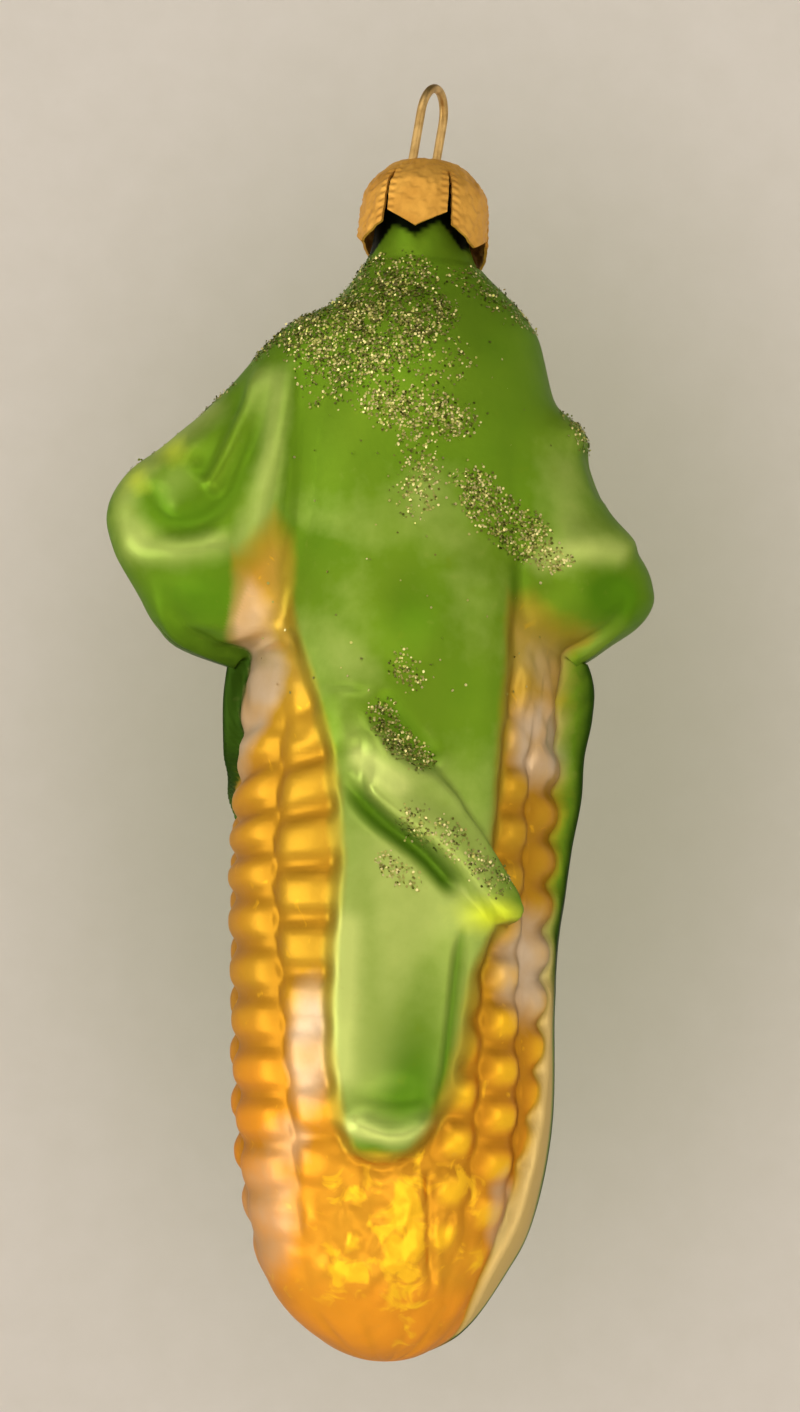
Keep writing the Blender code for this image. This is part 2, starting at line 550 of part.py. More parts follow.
def build_cap():
    outer = cap_layer(0.0)
    inner = cap_layer(CAP_THICKNESS)
    count = len(outer)
    width = PETAL_COLUMNS + 1
    ring_size = CAP_PETALS * width
    faces = []

    def both(quad):
        faces.append(tuple(quad))
        faces.append(tuple(index + count for index in reversed(quad)))

    for i in range(ring_size):
        both([0, 1 + i, 1 + (i + 1) % ring_size])
    for ring in range(CAP_DOME_RINGS - 1):
        low = 1 + ring * ring_size
        for i in range(ring_size):
            j = (i + 1) % ring_size
            both([low + i, low + ring_size + i, low + ring_size + j, low + j])
    first_row = 1 + (CAP_DOME_RINGS - 1) * ring_size
    for petal in range(CAP_PETALS):
        base = first_row + petal * width
        for row in range(PETAL_ROWS):
            low = base + row * ring_size
            high = low + ring_size
            for i in range(PETAL_COLUMNS):
                both([low + i, high + i, high + i + 1, low + i + 1])
            faces.append((low, low + count, high + count, high))
            end = PETAL_COLUMNS
            faces.append((low + end, high + end, high + end + count, low + end + count))
        bottom = base + PETAL_ROWS * ring_size
        for i in range(PETAL_COLUMNS):
            faces.append((bottom + i, bottom + i + count, bottom + i + 1 + count, bottom + i + 1))
        next_base = first_row + ((petal + 1) % CAP_PETALS) * width
        last = base + PETAL_COLUMNS
        faces.append((last, last + count, next_base + count, next_base))
    points = [tilt_cap(point) for point in outer + inner]
    cap = make_object("cap", points, faces, GLASS_AXIS_X + CAP_SHIFT_X, DATUM_Z)
    cap.data.materials.append(make_material("gold stamped foil", GOLD_FOIL, 0.9, 0.42))
    for side in (1.0, -1.0):
        cutter = make_hole_cutter(side)
        cut = cap.modifiers.new("wire hole", "BOOLEAN")
        cut.operation = "DIFFERENCE"
        cut.solver = "EXACT"
        cut.object = cutter
    return cap


def tilt_cap(point):
    # The cap sits a little askew on the neck.
    x, y, z = point[0], point[1], point[2] - CAP_TILT_PIVOT
    pitch = math.radians(CAP_PITCH_DEG)
    y, z = y * math.cos(pitch) + z * math.sin(pitch), z * math.cos(pitch) - y * math.sin(pitch)
    roll = math.radians(CAP_ROLL_DEG)
    x, z = x * math.cos(roll) + z * math.sin(roll), z * math.cos(roll) - x * math.sin(roll)
    return x, y, z + CAP_TILT_PIVOT


def make_hole_cutter(side):
    turn = math.radians(LOOP_TURN_DEG)
    centre_x = GLASS_AXIS_X + side * LOOP_HALF_WIDTH * math.cos(turn)
    centre_y = side * LOOP_HALF_WIDTH * math.sin(turn)
    hole_z = CAP_PROFILE[0][1] + DATUM_Z - 0.4
    mesh = bpy.data.meshes.new("wire hole")
    builder = bmesh.new()
    radius = WIRE_HOLE_RADIUS * METRES_PER_MM
    bmesh.ops.create_cone(builder, cap_ends=True, segments=20, radius1=radius, radius2=radius,
                          depth=4.0 * METRES_PER_MM)
    builder.to_mesh(mesh)
    builder.free()
    cutter = bpy.data.objects.new("wire hole", mesh)
    cutter.location = (centre_x * METRES_PER_MM, centre_y * METRES_PER_MM, hole_z * METRES_PER_MM)
    cutter.hide_render = True
    cutter.display_type = "WIRE"
    bpy.context.scene.collection.objects.link(cutter)
    return cutter


def hanger_path():
    # Centre line of the wire in the loop's own plane, as distance from the middle and height.
    half = LOOP_HALF_WIDTH
    arch_height = WIRE_RADIUS - half
    leg = []
    for height in np.linspace(LEG_SPLAY[-1][0], LEG_SPLAY[0][0], 22):
        leg.append((float(curve(LEG_SPLAY, height)), float(height) + DATUM_Z))
    for height in np.linspace(LEG_SPLAY[0][0], arch_height - 0.6, 5):
        leg.append((half, float(height)))
    arch = [(half * math.cos(a), arch_height + half * math.sin(a)) for a in np.linspace(0.0, math.pi, 19)]
    return leg + arch + [(-radius, height) for radius, height in reversed(leg)]


def build_hanger():
    turn = math.radians(LOOP_TURN_DEG)
    path = []
    for across, height in hanger_path():
        lean = GLASS_AXIS_X + LOOP_LEAN * max(height - LOOP_LEAN_FROM, 0.0)
        path.append(np.array([across * math.cos(turn) + lean, across * math.sin(turn), height]))
    side = np.array([-math.sin(turn), math.cos(turn), 0.0])
    verts = []
    for index, point in enumerate(path):
        ahead = path[min(index + 1, len(path) - 1)] - path[max(index - 1, 0)]
        ahead = ahead / np.linalg.norm(ahead)
        lift = np.cross(ahead, side)
        lift = lift / np.linalg.norm(lift)
        flat = np.cross(lift, ahead)
        for step in range(WIRE_SIDES):
            angle = 2.0 * math.pi * step / WIRE_SIDES
            offset = WIRE_RADIUS * (math.cos(angle) * flat + math.sin(angle) * lift)
            verts.append(tuple(point + offset))
    faces = [tuple(range(WIRE_SIDES))]
    faces.extend(reversed_faces(grid_faces(0, len(path), WIRE_SIDES)))
    end = (len(path) - 1) * WIRE_SIDES
    faces.append(tuple(end + WIRE_SIDES - 1 - i for i in range(WIRE_SIDES)))
    hanger = make_object("wire_hanger", verts, faces, 0.0, 0.0)
    hanger.data.materials.append(make_material("gold wire", GOLD_WIRE, 1.0, 0.3))
    return hanger


def make_object(name, verts, faces, shift_x, shift_z):
    mesh = bpy.data.meshes.new(name)
    placed = [np.array((x + shift_x, y, z + shift_z)) * METRES_PER_MM for x, y, z in verts]
    mesh.from_pydata(placed, [], faces)
    builder = bmesh.new()
    builder.from_mesh(mesh)
    bmesh.ops.recalc_face_normals(builder, faces=builder.faces)
    builder.to_mesh(mesh)
    builder.free()
    mesh.shade_smooth()
    item = bpy.data.objects.new(name, mesh)
    bpy.context.scene.collection.objects.link(item)
    return item


def make_material(name, colour, metallic, roughness):
    material = bpy.data.materials.new(name)
    material.use_nodes = True
    shader = material.node_tree.nodes["Principled BSDF"]
    shader.inputs["Base Color"].default_value = colour
    shader.inputs["Metallic"].default_value = metallic
    shader.inputs["Roughness"].default_value = roughness
    material.diffuse_color = colour
    return material


clear_scene()
build_glass()
build_cap()
build_hanger()
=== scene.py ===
import math

import bpy
import numpy as np
from mathutils import Matrix, Vector


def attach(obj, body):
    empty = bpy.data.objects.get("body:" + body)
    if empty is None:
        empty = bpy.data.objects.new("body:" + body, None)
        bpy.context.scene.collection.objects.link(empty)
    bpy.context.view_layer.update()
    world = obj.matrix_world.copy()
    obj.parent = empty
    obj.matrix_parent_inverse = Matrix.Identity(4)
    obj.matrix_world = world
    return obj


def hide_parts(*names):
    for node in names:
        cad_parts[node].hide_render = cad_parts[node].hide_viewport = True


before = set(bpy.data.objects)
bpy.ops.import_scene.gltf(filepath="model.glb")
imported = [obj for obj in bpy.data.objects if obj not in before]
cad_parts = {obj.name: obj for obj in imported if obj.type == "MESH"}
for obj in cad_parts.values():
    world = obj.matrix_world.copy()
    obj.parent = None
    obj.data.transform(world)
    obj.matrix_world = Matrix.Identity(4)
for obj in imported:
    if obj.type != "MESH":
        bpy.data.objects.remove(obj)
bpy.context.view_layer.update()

mm = 0.001


def hexToLinear(code, tone=(1, 1, 1)):
    # sRGB hex such as "8fa832" to the linear numbers a shader takes, each times its tone
    parts = []
    for start, share in zip((0, 2, 4), tone):
        value = int(code[start:start + 2], 16) / 255
        parts.append(share * (value / 12.92 if value <= 0.04045 else ((value + 0.055) / 1.055) ** 2.4))
    return (*parts, 1)


def addNode(tree, kind, settings=None, links=None):
    # one node with its settings, then its links as {input: (node, output)}
    node = tree.nodes.new("ShaderNode" + kind)
    for name, value in (settings or {}).items():
        if isinstance(name, str) and hasattr(node, name):
            setattr(node, name, value)
        else:
            node.inputs[name].default_value = value
    for name, (source, output) in (links or {}).items():
        tree.links.new(source.outputs[output], node.inputs[name])
    return node


def newMaterial(name):
    material = bpy.data.materials.new(name)
    material.use_nodes = True
    material.node_tree.nodes.clear()
    return material, material.node_tree


def mottledMetal(name, look):
    # two tones of one metal in soft clouds, and a fine grain if the look has one
    material, tree = newMaterial(name)
    place = addNode(tree, "TexCoord")
    clouds = addNode(tree, "TexNoise", {"Scale": 1000 / look["cloudMm"], "Detail": look["cloudDetail"]},
                     {"Vector": (place, "Object")})
    tones = addNode(tree, "ValToRGB", None, {"Fac": (clouds, "Fac")})
    for element, spot in zip(tones.color_ramp.elements, look["toneSpots"]):
        element.position = spot
    tones.color_ramp.elements[0].color = hexToLinear(look["dark"], look["darkTone"])
    tones.color_ramp.elements[1].color = hexToLinear(look["colour"])
    links = {"Base Color": (tones, "Color")}
    if look["grain"]:
        size, strength, depth = look["grain"]
        grain = addNode(tree, "TexNoise", {"Scale": 1000 / size, "Detail": 3},
                        {"Vector": (place, "Object")})
        bump = addNode(tree, "Bump", {"Strength": strength, "Distance": depth * mm},
                       {"Height": (grain, "Fac")})
        links["Normal"] = (bump, "Normal")
    shader = addNode(tree, "BsdfPrincipled",
                     {"Metallic": look["metallic"], "Roughness": look["roughness"]}, links)
    addNode(tree, "OutputMaterial", None, {"Surface": (shader, "BSDF")})
    return material


def smoothStep(low, high, value):
    share = np.clip((value - low) / (high - low), 0, 1)
    return share * share * (3 - 2 * share)


def smoothMax(first, second, blend):
    overlap = np.maximum(blend - np.abs(first - second), 0) / blend
    return np.maximum(first, second) + overlap * overlap * blend * 0.25


def curveAt(points, at):
    # smooth curve through (position, value) points
    place, value = np.array(sorted(points), dtype=float).T
    slope = np.gradient(value, place)
    at = np.clip(np.asarray(at, dtype=float), place[0], place[-1])
    index = np.clip(np.searchsorted(place, at) - 1, 0, len(place) - 2)
    span = place[index + 1] - place[index]
    t = (at - place[index]) / span
    start = (1 + 2 * t) * (1 - t) ** 2 * value[index] + t * (1 - t) ** 2 * span * slope[index]
    return start + t * t * (3 - 2 * t) * value[index + 1] + t * t * (t - 1) * span * slope[index + 1]


def pathDistance(x, z, path):
    # distance to a path of x and height, and how far along it, counted in its points
    best = np.full(x.shape, np.inf)
    along = np.zeros(x.shape)
    for index, (start, end) in enumerate(zip(path, path[1:])):
        runX = end[0] - start[0]
        runZ = end[1] - start[1]
        share = np.clip(((x - start[0]) * runX + (z - start[1]) * runZ) / (runX ** 2 + runZ ** 2), 0, 1)
        distance = np.hypot(x - start[0] - share * runX, z - start[1] - share * runZ)
        nearer = distance < best
        best = np.where(nearer, distance, best)
        along = np.where(nearer, index + share, along)
    return best, along


def blob(x, z, centreX, centreZ, reachX, reachZ):
    # a round soft spot, 1 in its middle
    return np.exp(-((x - centreX) / reachX) ** 2 - ((z - centreZ) / reachZ) ** 2)


def spots(x, z, places, gather=np.add):
    # soft spots of x, height, reach across, reach down and strength, added or the strongest kept
    share = np.zeros(x.shape)
    for *place, strength in places:
        share = gather(share, strength * blob(x, z, *place))
    return share


def meshObject(name, verts, faces, smooth=True):
    mesh = bpy.data.meshes.new(name)
    mesh.from_pydata([tuple(v) for v in verts], [], [tuple(int(i) for i in f) for f in faces])
    mesh.update()
    if smooth:
        mesh.shade_smooth()
    item = bpy.data.objects.new(name, mesh)
    bpy.context.scene.collection.objects.link(item)
    return item


def addMask(item, name, values):
    # a soft paint mask kept on the points of a mesh
    layer = item.data.attributes.new(name, "FLOAT", "POINT")
    layer.data.foreach_set("value", np.ascontiguousarray(values, dtype=np.float32))


glass = {
    "axisX": -1.28,           # the glass hangs a little beside the hang point, because the loop leans
    "drop": 1.1,              # its heights are counted from this far under the hang point
    "columns": 312,
    "rows": 304,
    "ringSamples": 721,
    "rowSamples": 4000,
    "neckTop": -9,
    # the neck's rim, turned in and down inside: share of the neck's radius and how far down
    "rim": [(0.82, 5), (0.82, 1), (0.86, 0)],
    "tipStart": -88,
    "tipEnd": -126.2,
    "tipRadius": 15.55,
    "tipPower": 3.2,
    "cobRadius": [(-7, 4.7), (-13, 4.7), (-15, 5), (-17, 5.8), (-19.5, 7.3), (-22.5, 10), (-26, 12.1),
        (-32, 13.8), (-45, 14.8), (-58, 15.5), (-68, 15.9), (-80, 15.9), (-88, 15.55)],
    "cobShift": [(-7, 0), (-50, 0), (-66, -0.7), (-80, -1.1), (-92, -0.9), (-102, -0.6), (-112, -0.7),
        (-119, -1.1), (-126, -0.4)],
    "leftReach": [(-17, -5), (-19.5, -7), (-21.4, -9), (-22.8, -12.2), (-25, -14.8), (-30, -19.2),
        (-33.5, -22.6), (-36.5, -26.1), (-38.5, -28.6), (-40.5, -30.1), (-43, -30.8), (-46.5, -29.8),
        (-51, -26.9), (-53.5, -24.3), (-54.8, -22), (-55.5, -19.2), (-56.2, -16.4), (-57.6, -13.6),
        (-60, -12)],
    "rightReach": [(-17, 5.6), (-20, 9), (-23, 11.4), (-30.8, 13.7), (-32.2, 15.2), (-34, 16.8),
        (-37, 17.5), (-41, 19.3), (-44.5, 21.9), (-46.5, 23.4), (-48.5, 24.2), (-50.4, 24.2), (-52.4, 22.4),
        (-54.2, 18.6), (-55.8, 15), (-61, 12)],
    "sideDepth": [(-17, 4), (-22, 7), (-30, 8.5), (-45, 9), (-52, 8.5), (-57, 6.5), (-61, 4)],
    "sideForward": 1,
    "sideInner": 3,           # how far each side leaf's ellipse reaches past the axis
    "sideBlend": 1.6,
    "sideSpan": (-61, -17),
    "sideTurn": 0.6,          # how much the slope of the side leaves draws the rows together
}

kernelRows = {
    # degrees of the lines between the columns, high up and low down on the cob
    "edgesTop": [-126, -92, -48, -12, 20, 38, 57, 90, 122, 152, 182, 212, 234],
    "edgesLow": [-122, -84, -39, -10, 17, 35, 58, 88, 120, 152, 182, 212, 238],
    "pitch": [5, 4.85, 5.25, 4.8, 4.6, 4.6, 4.6, 4.8, 4.8, 4.8, 4.8, 4.8],
    "start": [-73.6, -71.2, -72.7, -72.4, -69.6, -71.8, -69.6, -72, -74.4, -72, -74.4, -72],
    "flat": [2.4, 2.4, 2.4, 1.6, 1.6, 1.6, 1.6, 1.6, 1.6, 1.6, 1.6, 1.6],   # how flat and wide a kernel is
    "rowFlat": 1.4,
    "lowerSpan": (-75, -110),
    # the rows left of the leaf slant: how much, between these degrees, and where it fades
    "slant": 0.06, "slantFrom": -30, "slantTo": 20, "slantSpan": (-82, -68),
    "betweenColumns": 0.95,   # depth of the line between two columns
    "betweenKernels": 0.95,
    "crown": 0.58,
    "dimple": 0.16,           # shallow hollow in the wide kernels left of the leaf
}

huskLeaves = {
    "frontLeft": [(-18, -9), (-23.5, -12), (-44, -12.5), (-50, -12), (-56, -10.7), (-62, -8.7), (-68, -7.1),
        (-75, -6.3), (-90, -6.5), (-96, -6.3), (-101, -5.6), (-104, -4.8), (-106, -3.4), (-107, -1.2)],
    "frontRight": [(-18, 9), (-23, 12.5), (-40, 11), (-48, 10.2), (-62, 9.3), (-72, 8.8), (-79.5, 8.6),
        (-82.5, 9.4), (-84.6, 8.6), (-87.5, 7.5), (-94, 6.4), (-99, 5.2), (-103, 3.4), (-106, 0.6),
        (-107, -1.2)],
    "softLower": 0.2, "softSpan": (-84, -88),   # the right edge is a little softer low down
    "frontTip": (-107.5, -106),
    "frontRise": 1.1,
    # the folded tip: its outline, and the crest it is creased along
    "flapOutline": [(-3.6, -58), (-1.6, -62), (0.8, -65), (2.4, -66.6), (4.1, -67.6), (4.6, -70),
        (5.4, -72.2), (7.2, -74.7), (8.8, -77.4), (9.9, -79.8), (10.2, -81.8), (9.6, -83.2), (8, -83.3),
        (5.7, -80.4), (4.1, -78.3), (2, -76.1), (-1.1, -73.8), (-3.6, -71.4), (-5.4, -68.6), (-6.8, -65.5),
        (-7.4, -58)],
    "flapCrest": [(-6.2, -65.5), (-5, -68.4), (-3.2, -71), (-0.7, -73.3), (2.4, -75.6), (4.5, -77.7),
        (5.9, -79.4), (7.8, -81), (9.6, -82)],
    "flapRise": 1.1, "flapLift": (-61, -70.5),
    "flapCrestRise": 1.1, "flapCrestWidth": 2.6, "flapCrestStart": 0.3,
    # the fold's edge starts this far out, is this soft, and is so much softer at its top
    "flapOut": -0.4, "flapSoft": (0.65, 3.2), "flapSoftSpan": (-72, -67),
    "backRight": [(-50, 76), (-58, 80), (-66, 83), (-74, 82), (-82, 79), (-88, 77), (-94, 73.5), (-100, 69),
        (-105, 65), (-111, 61), (-117, 59), (-120, 63), (-122, 70), (-124, 84), (-126, 110)],
    "backLeft": [(-50, 284), (-58, 276), (-66, 270), (-72, 252), (-85, 237), (-100, 227), (-110, 216),
        (-118, 198), (-121, 178), (-123, 152)],
    "backRiseRight": [(-50, 1.2), (-56, 2.6), (-59, 3.5), (-62, 3.4), (-66, 2.7), (-70, 2.6), (-75, 1.9),
        (-82, 1.3), (-92, 0.9), (-104, 1), (-112, 0.9), (-117, 0.65), (-121, 0.4), (-124, 0.15), (-126, 0)],
    "backRiseLeft": [(-50, 1.2), (-56, 2.2), (-60, 2.3), (-66, 1.7), (-75, 1.3), (-90, 1.2), (-112, 1.3),
        (-126, 0.5)],
    "backTip": (-126, -123),
}

# folds pressed in the leaves: a path of x and height, how high (negative is a valley) and how wide
frontFolds = [
    # left side leaf: a dished face with two ridges running down into it
    ([(-13.6, -28), (-15.8, -34.8), (-17.4, -38.8), (-18.8, -41.8), (-20.8, -43.8), (-23.6, -44.2),
        (-25.8, -42.6), (-26.6, -40.2), (-25.2, -37.8)], -0.85, 1.7),
    ([(-14.4, -26.5), (-16.6, -32.6), (-18.4, -37.6), (-19.6, -40.2), (-20.6, -41.4)], 0.85, 0.95),
    ([(-16.6, -29.5), (-18.9, -34.6), (-20.6, -38), (-22, -40)], -0.5, 1.4),
    ([(-29.4, -43.6), (-27.2, -46.9), (-24, -47.2), (-20.6, -46.9), (-17.4, -45.4)], 0.7, 1.6),
    ([(-12.2, -25.5), (-12.9, -32.8), (-13.6, -38.4), (-14.4, -43.4), (-15.2, -49)], 0.7, 1.4),
    ([(-11.4, -26), (-11.6, -32), (-11.8, -38), (-12, -46), (-12.2, -52)], -0.4, 0.9),
    # right side leaf
    ([(10.9, -46), (10.9, -51), (10.6, -58)], -0.35, 1.4),
    ([(12.4, -48.2), (16.2, -45.8), (19.8, -45), (22.6, -46.4)], 0.7, 2.4),
    ([(13.2, -57.2), (17, -55.6), (20.6, -53.6), (22.8, -51.6)], 0.2, 1.4),
    ([(17, -34.6), (18.2, -38), (19.4, -40.6)], -0.4, 0.9),
    # middle leaf and its folded tip
    ([(-5.8, -68.6), (-4.2, -71.8), (-1.6, -74.3), (1.5, -76.6), (3.7, -78.8), (5.2, -80.8)], -1.2, 0.85),
    ([(-5.2, -60.6), (-5.4, -63.6), (-4.4, -67)], 0.5, 1.7),
    ([(-3, -61), (-1, -64), (1, -66.4), (3.4, -68.6)], -0.8, 1.1),
    # lower leaf
    ([(5.5, -83), (5.1, -88.8), (4.7, -94), (4.3, -98.2), (3.4, -102.2)], -0.5, 0.55),
    ([(-5, -76), (-5.2, -86), (-5.1, -96)], 0.3, 1.3),
    ([(-4.6, -101.8), (-1.9, -103.4), (0.8, -103.6), (3.8, -101.4)], 0.9, 1.2),
    # line between two columns below the leaf
    ([(3.2, -106.5), (3.7, -112), (4.1, -119.5)], -0.5, 0.45),
]
backFolds = [
    ([(-13, -27), (-17.5, -38), (-22, -48)], -1.2, 1.8),
    ([(-18, -29), (-22, -36), (-26, -44)], 0.8, 1.8),
    ([(12.4, -28), (14.6, -40), (17, -50)], -1, 1.8),
    ([(-1.4, -26), (-0.6, -60), (0.4, -90), (2, -118)], 0.9, 1.3),
]
# rounded dents and lumps: x, height, how high (negative is a dent), reach across, reach down
frontDents = [
    (-22.8, -41, -0.7, 3.8, 4.2),
    (-27, -40, 0.4, 1.9, 2.6),
    (-22.4, -36.4, 0.4, 1.7, 2),
    (-24, -42.6, 0.25, 1, 0.9),
    (16, -33.4, 0.5, 1.8, 2.2),
    (20.2, -50, -0.9, 3, 2.8),
    (14.6, -40.4, 0.5, 3.2, 5),
    (-0.2, -53.4, -0.7, 2.6, 3.4),
    (-4.6, -46, 0.3, 3.4, 5),
    (6.2, -50.5, 0.3, 2.8, 3.4),
    (-4.4, -70, 0.45, 1.5, 1.8),
    (7.6, -82.4, 0.5, 2.2, 1.3),
    (0, -97, 0.35, 3.4, 2.6),
    (0, -100.6, -0.55, 3.4, 1.6),
]


def smoothPath(path):
    # a drawn path with its corners rounded off, in five steps from point to point
    last = len(path) - 1
    steps = np.linspace(0, last, 5 * last + 1)
    x, z = (curveAt(list(zip(range(last + 1), side)), steps) for side in zip(*path))
    return list(zip(x, z))


def outlineDistance(x, z, outline):
    # distance in from the edge of a closed outline, negative outside it
    closed = list(outline) + [outline[0]]
    distance = pathDistance(x, z, closed)[0]
    inside = np.zeros(x.shape, dtype=bool)
    for start, end in zip(closed, closed[1:]):
        spans = (start[1] > z) != (end[1] > z)
        rise = end[1] - start[1]
        at = start[0] + (z - start[1]) / (rise if abs(rise) > 1e-9 else 1e-9) * (end[0] - start[0])
        inside ^= spans & (x < at)
    return np.where(inside, distance, -distance)


def lumps(x, y, z, *layers):
    # smooth random swelling from about -1 to 1 for each layer: how high, size of a lump and seed
    total = 0
    for rise, size, seed in layers:
        turn = 2 * math.pi / size
        a = np.sin(turn * (0.55 * x + 0.23 * z + 0.31 * y) + seed)
        b = np.sin(turn * (0.21 * x - 0.51 * z + 0.18 * y) + 2.1 * seed + 1.7 * a)
        c = np.sin(turn * (-0.37 * x + 0.33 * z - 0.42 * y) + 0.7 * seed + 1.3 * b)
        total = total + rise * ((a + b + c) / 3)
    return total


def cobRadius(height):
    share = np.clip((glass["tipStart"] - height) / (glass["tipStart"] - glass["tipEnd"]), 0, 1)
    tip = glass["tipRadius"] * np.sqrt(np.maximum(1 - share ** glass["tipPower"], 0))
    return np.where(height > glass["tipStart"], curveAt(glass["cobRadius"], height), tip)


def lobeRadius(angle, inner, outer, halfDepth):
    # distance from the axis to an ellipse that holds the axis
    outX = np.sin(angle)
    outY = -np.cos(angle)
    forward = glass["sideForward"]
    centreX = (inner + outer) * 0.5
    halfWidth = abs(outer - inner) * 0.5
    a = (outX / halfWidth) ** 2 + (outY / halfDepth) ** 2
    b = outX * centreX / halfWidth ** 2 - outY * forward / halfDepth ** 2
    c = (centreX / halfWidth) ** 2 + (forward / halfDepth) ** 2 - 1
    return (b + np.sqrt(np.maximum(b * b - a * c, 0))) / a


def sectionRadius(angle, height):
    # the round cob, with both side leaves swelling out of it between their two heights
    radius = np.full_like(angle, float(cobRadius(height)))
    low, high = glass["sideSpan"]
    if low <= height <= high:
        depth = float(curveAt(glass["sideDepth"], height))
        for name, inner in (("leftReach", glass["sideInner"]), ("rightReach", -glass["sideInner"])):
            lobe = lobeRadius(angle, inner, float(curveAt(glass[name], height)), depth)
            radius = smoothMax(radius, lobe, glass["sideBlend"])
    return radius


def sectionRing(height, columns):
    # one ring, with its points spread evenly along each half of the outline
    ring = []
    for side in (1, -1):
        angle = side * np.linspace(0, math.pi, glass["ringSamples"])
        radius = sectionRadius(angle, height)
        x = radius * np.sin(angle)
        y = -radius * np.cos(angle)
        run = np.concatenate([[0], np.cumsum(np.hypot(np.diff(x), np.diff(y)))])
        stops = np.linspace(0, run[-1], columns // 2 + 1)
        ring.append([np.interp(stops, run, x), np.interp(stops, run, y)])
    x, y = (np.concatenate([right, left[-2:0:-1]]) for right, left in zip(*ring))
    return x + float(curveAt(glass["cobShift"], height)), y


def rowHeights(rows):
    # closer rows where the neck, the leaf undersides and the tip turn in
    height = np.linspace(glass["neckTop"], glass["tipEnd"], glass["rowSamples"])
    cob, left, right = (np.abs(np.diff(side)) for side in (
        cobRadius(height), curveAt(glass["leftReach"], height), curveAt(glass["rightReach"], height)))
    turn = np.maximum(cob, glass["sideTurn"] * np.maximum(left, right))
    run = np.concatenate([[0], np.cumsum(np.hypot(turn, np.diff(height)))])
    return np.interp(np.linspace(0, run[-1], rows + 1), run, height)[:-1]


def cobDegrees(x, y, z):
    return np.degrees(np.arctan2(x - curveAt(glass["cobShift"], z), -y)) % 360


def frontLeaf(x, z, soft=1):
    leaf = huskLeaves
    softRight = soft * (1 + leaf["softLower"] * smoothStep(*leaf["softSpan"], z))
    inside = smoothStep(-soft, soft, x - curveAt(leaf["frontLeft"], z))
    inside = inside * smoothStep(-softRight, softRight, curveAt(leaf["frontRight"], z) - x)
    return inside * smoothStep(*leaf["frontTip"], z)


def backLeaf(degrees, z, soft=2):
    inside = smoothStep(-soft, soft, degrees - curveAt(huskLeaves["backRight"], z))
    inside = inside * smoothStep(-soft, soft, curveAt(huskLeaves["backLeft"], z) - degrees)
    return inside * smoothStep(*huskLeaves["backTip"], z)


def flapLeaf(x, z):
    # share of the folded tip, and its height above the leaf it lies on
    fold = huskLeaves
    sharp, softer = fold["flapSoft"]
    blend = sharp + softer * smoothStep(*fold["flapSoftSpan"], z)
    share = smoothStep(fold["flapOut"], blend, outlineDistance(x, z, fold["flapOutline"]))
    crest = smoothPath(fold["flapCrest"])
    fromCrest, along = pathDistance(x, z, crest)
    crestRise = fold["flapCrestRise"] * smoothStep(0, fold["flapCrestStart"] * len(crest), along)
    height = fold["flapRise"] + crestRise * np.exp(-(fromCrest / fold["flapCrestWidth"]) ** 2)
    return share, height * smoothStep(*fold["flapLift"], z)


def kernelShape(degrees, z):
    # 1 on the crown of a kernel; 0 in the lines between columns and between kernels
    rows = kernelRows
    turned = np.where(degrees > rows["edgesTop"][-1], degrees - 360, degrees)
    low = smoothStep(*rows["lowerSpan"], z)
    edges = [top * (1 - low) + lower * low for top, lower in zip(rows["edgesTop"], rows["edgesLow"])]
    across = np.zeros(z.shape)
    down = np.zeros(z.shape)
    slant = rows["slant"] * (turned - rows["slantFrom"]) * smoothStep(*rows["slantSpan"], z)
    slant = slant * (turned < rows["slantTo"])
    for first, last, pitch, start, flat in zip(edges, edges[1:], rows["pitch"], rows["start"], rows["flat"]):
        inside = (turned >= first) & (turned < last)
        place = 2 * (turned - first) / (last - first) - 1
        row = 2 * ((start - z + slant) / pitch % 1) - 1
        across = np.where(inside, 0.5 + 0.5 * np.cos(math.pi * np.abs(place) ** flat), across)
        down = np.where(inside, 0.5 + 0.5 * np.cos(math.pi * np.abs(row) ** rows["rowFlat"]), down)
    return across, down


relief = {
    # a pair is where a fade starts and where it is full: heights, unless its name says otherwise
    "facing": (-0.1, 0.3),
    "shoulder": (-56, -48), "neck": (-17, -22),
    "kernelTop": (-58, -70), "kernelFoot": (-121, -106), "footShare": 0.12,
    "rowsInColumns": 0.3,     # how much of the row lines runs on into the column lines
    "wideX": ((-15.5, -14), (-6, -8)), "dimpleDown": (0.72, 1),
    # rounder, flatter kernels: how much, x, height, reach across, reach down
    "smoother": [(0.8, -8.4, -95.6, 2.8, 6.2), (0.6, -12, -112.5, 5, 6.5)],
    # the crinkled patch low on the front: x, height and reaches, its rise, and lumps as rise, size, seed
    "crinkled": (-0.6, -113.5, 7.5, 7.5), "crinkledSmoother": (0.85, 1.3),
    "crinkleRise": 0.26, "crinkle": [(1, 2.6, 1), (0.8, 1.5, 4)],
    # the crumpled skin above the first kernels, reaching higher on the right
    "crumpleTop": (-48, -56), "crumpleRight": 5, "crumpleFoot": (-70, -64),
    "crumple": [(0.4, 4.4, 3), (0.12, 2.2, 6)],
    "frontLift": (-44, -60),
    "backSidesX": (-4, 4), "backLift": (-48, -58),
    "veinRise": 0.22, "veinDegrees": 17, "veinMiddle": 168,
    "veinEdges": ((84, 100), (270, 255)),
    "uneven": (0.1, 9, 5),    # the slow unevenness of blown glass
}


def huskCover(x, y, z, facing):
    # shares of front leaf, flap and back leaf at each point
    front = smoothStep(*relief["facing"], facing)
    flapShare, flapHeight = flapLeaf(x, z)
    return frontLeaf(x, z) * front, flapShare * front, flapHeight, backLeaf(cobDegrees(x, y, z), z)


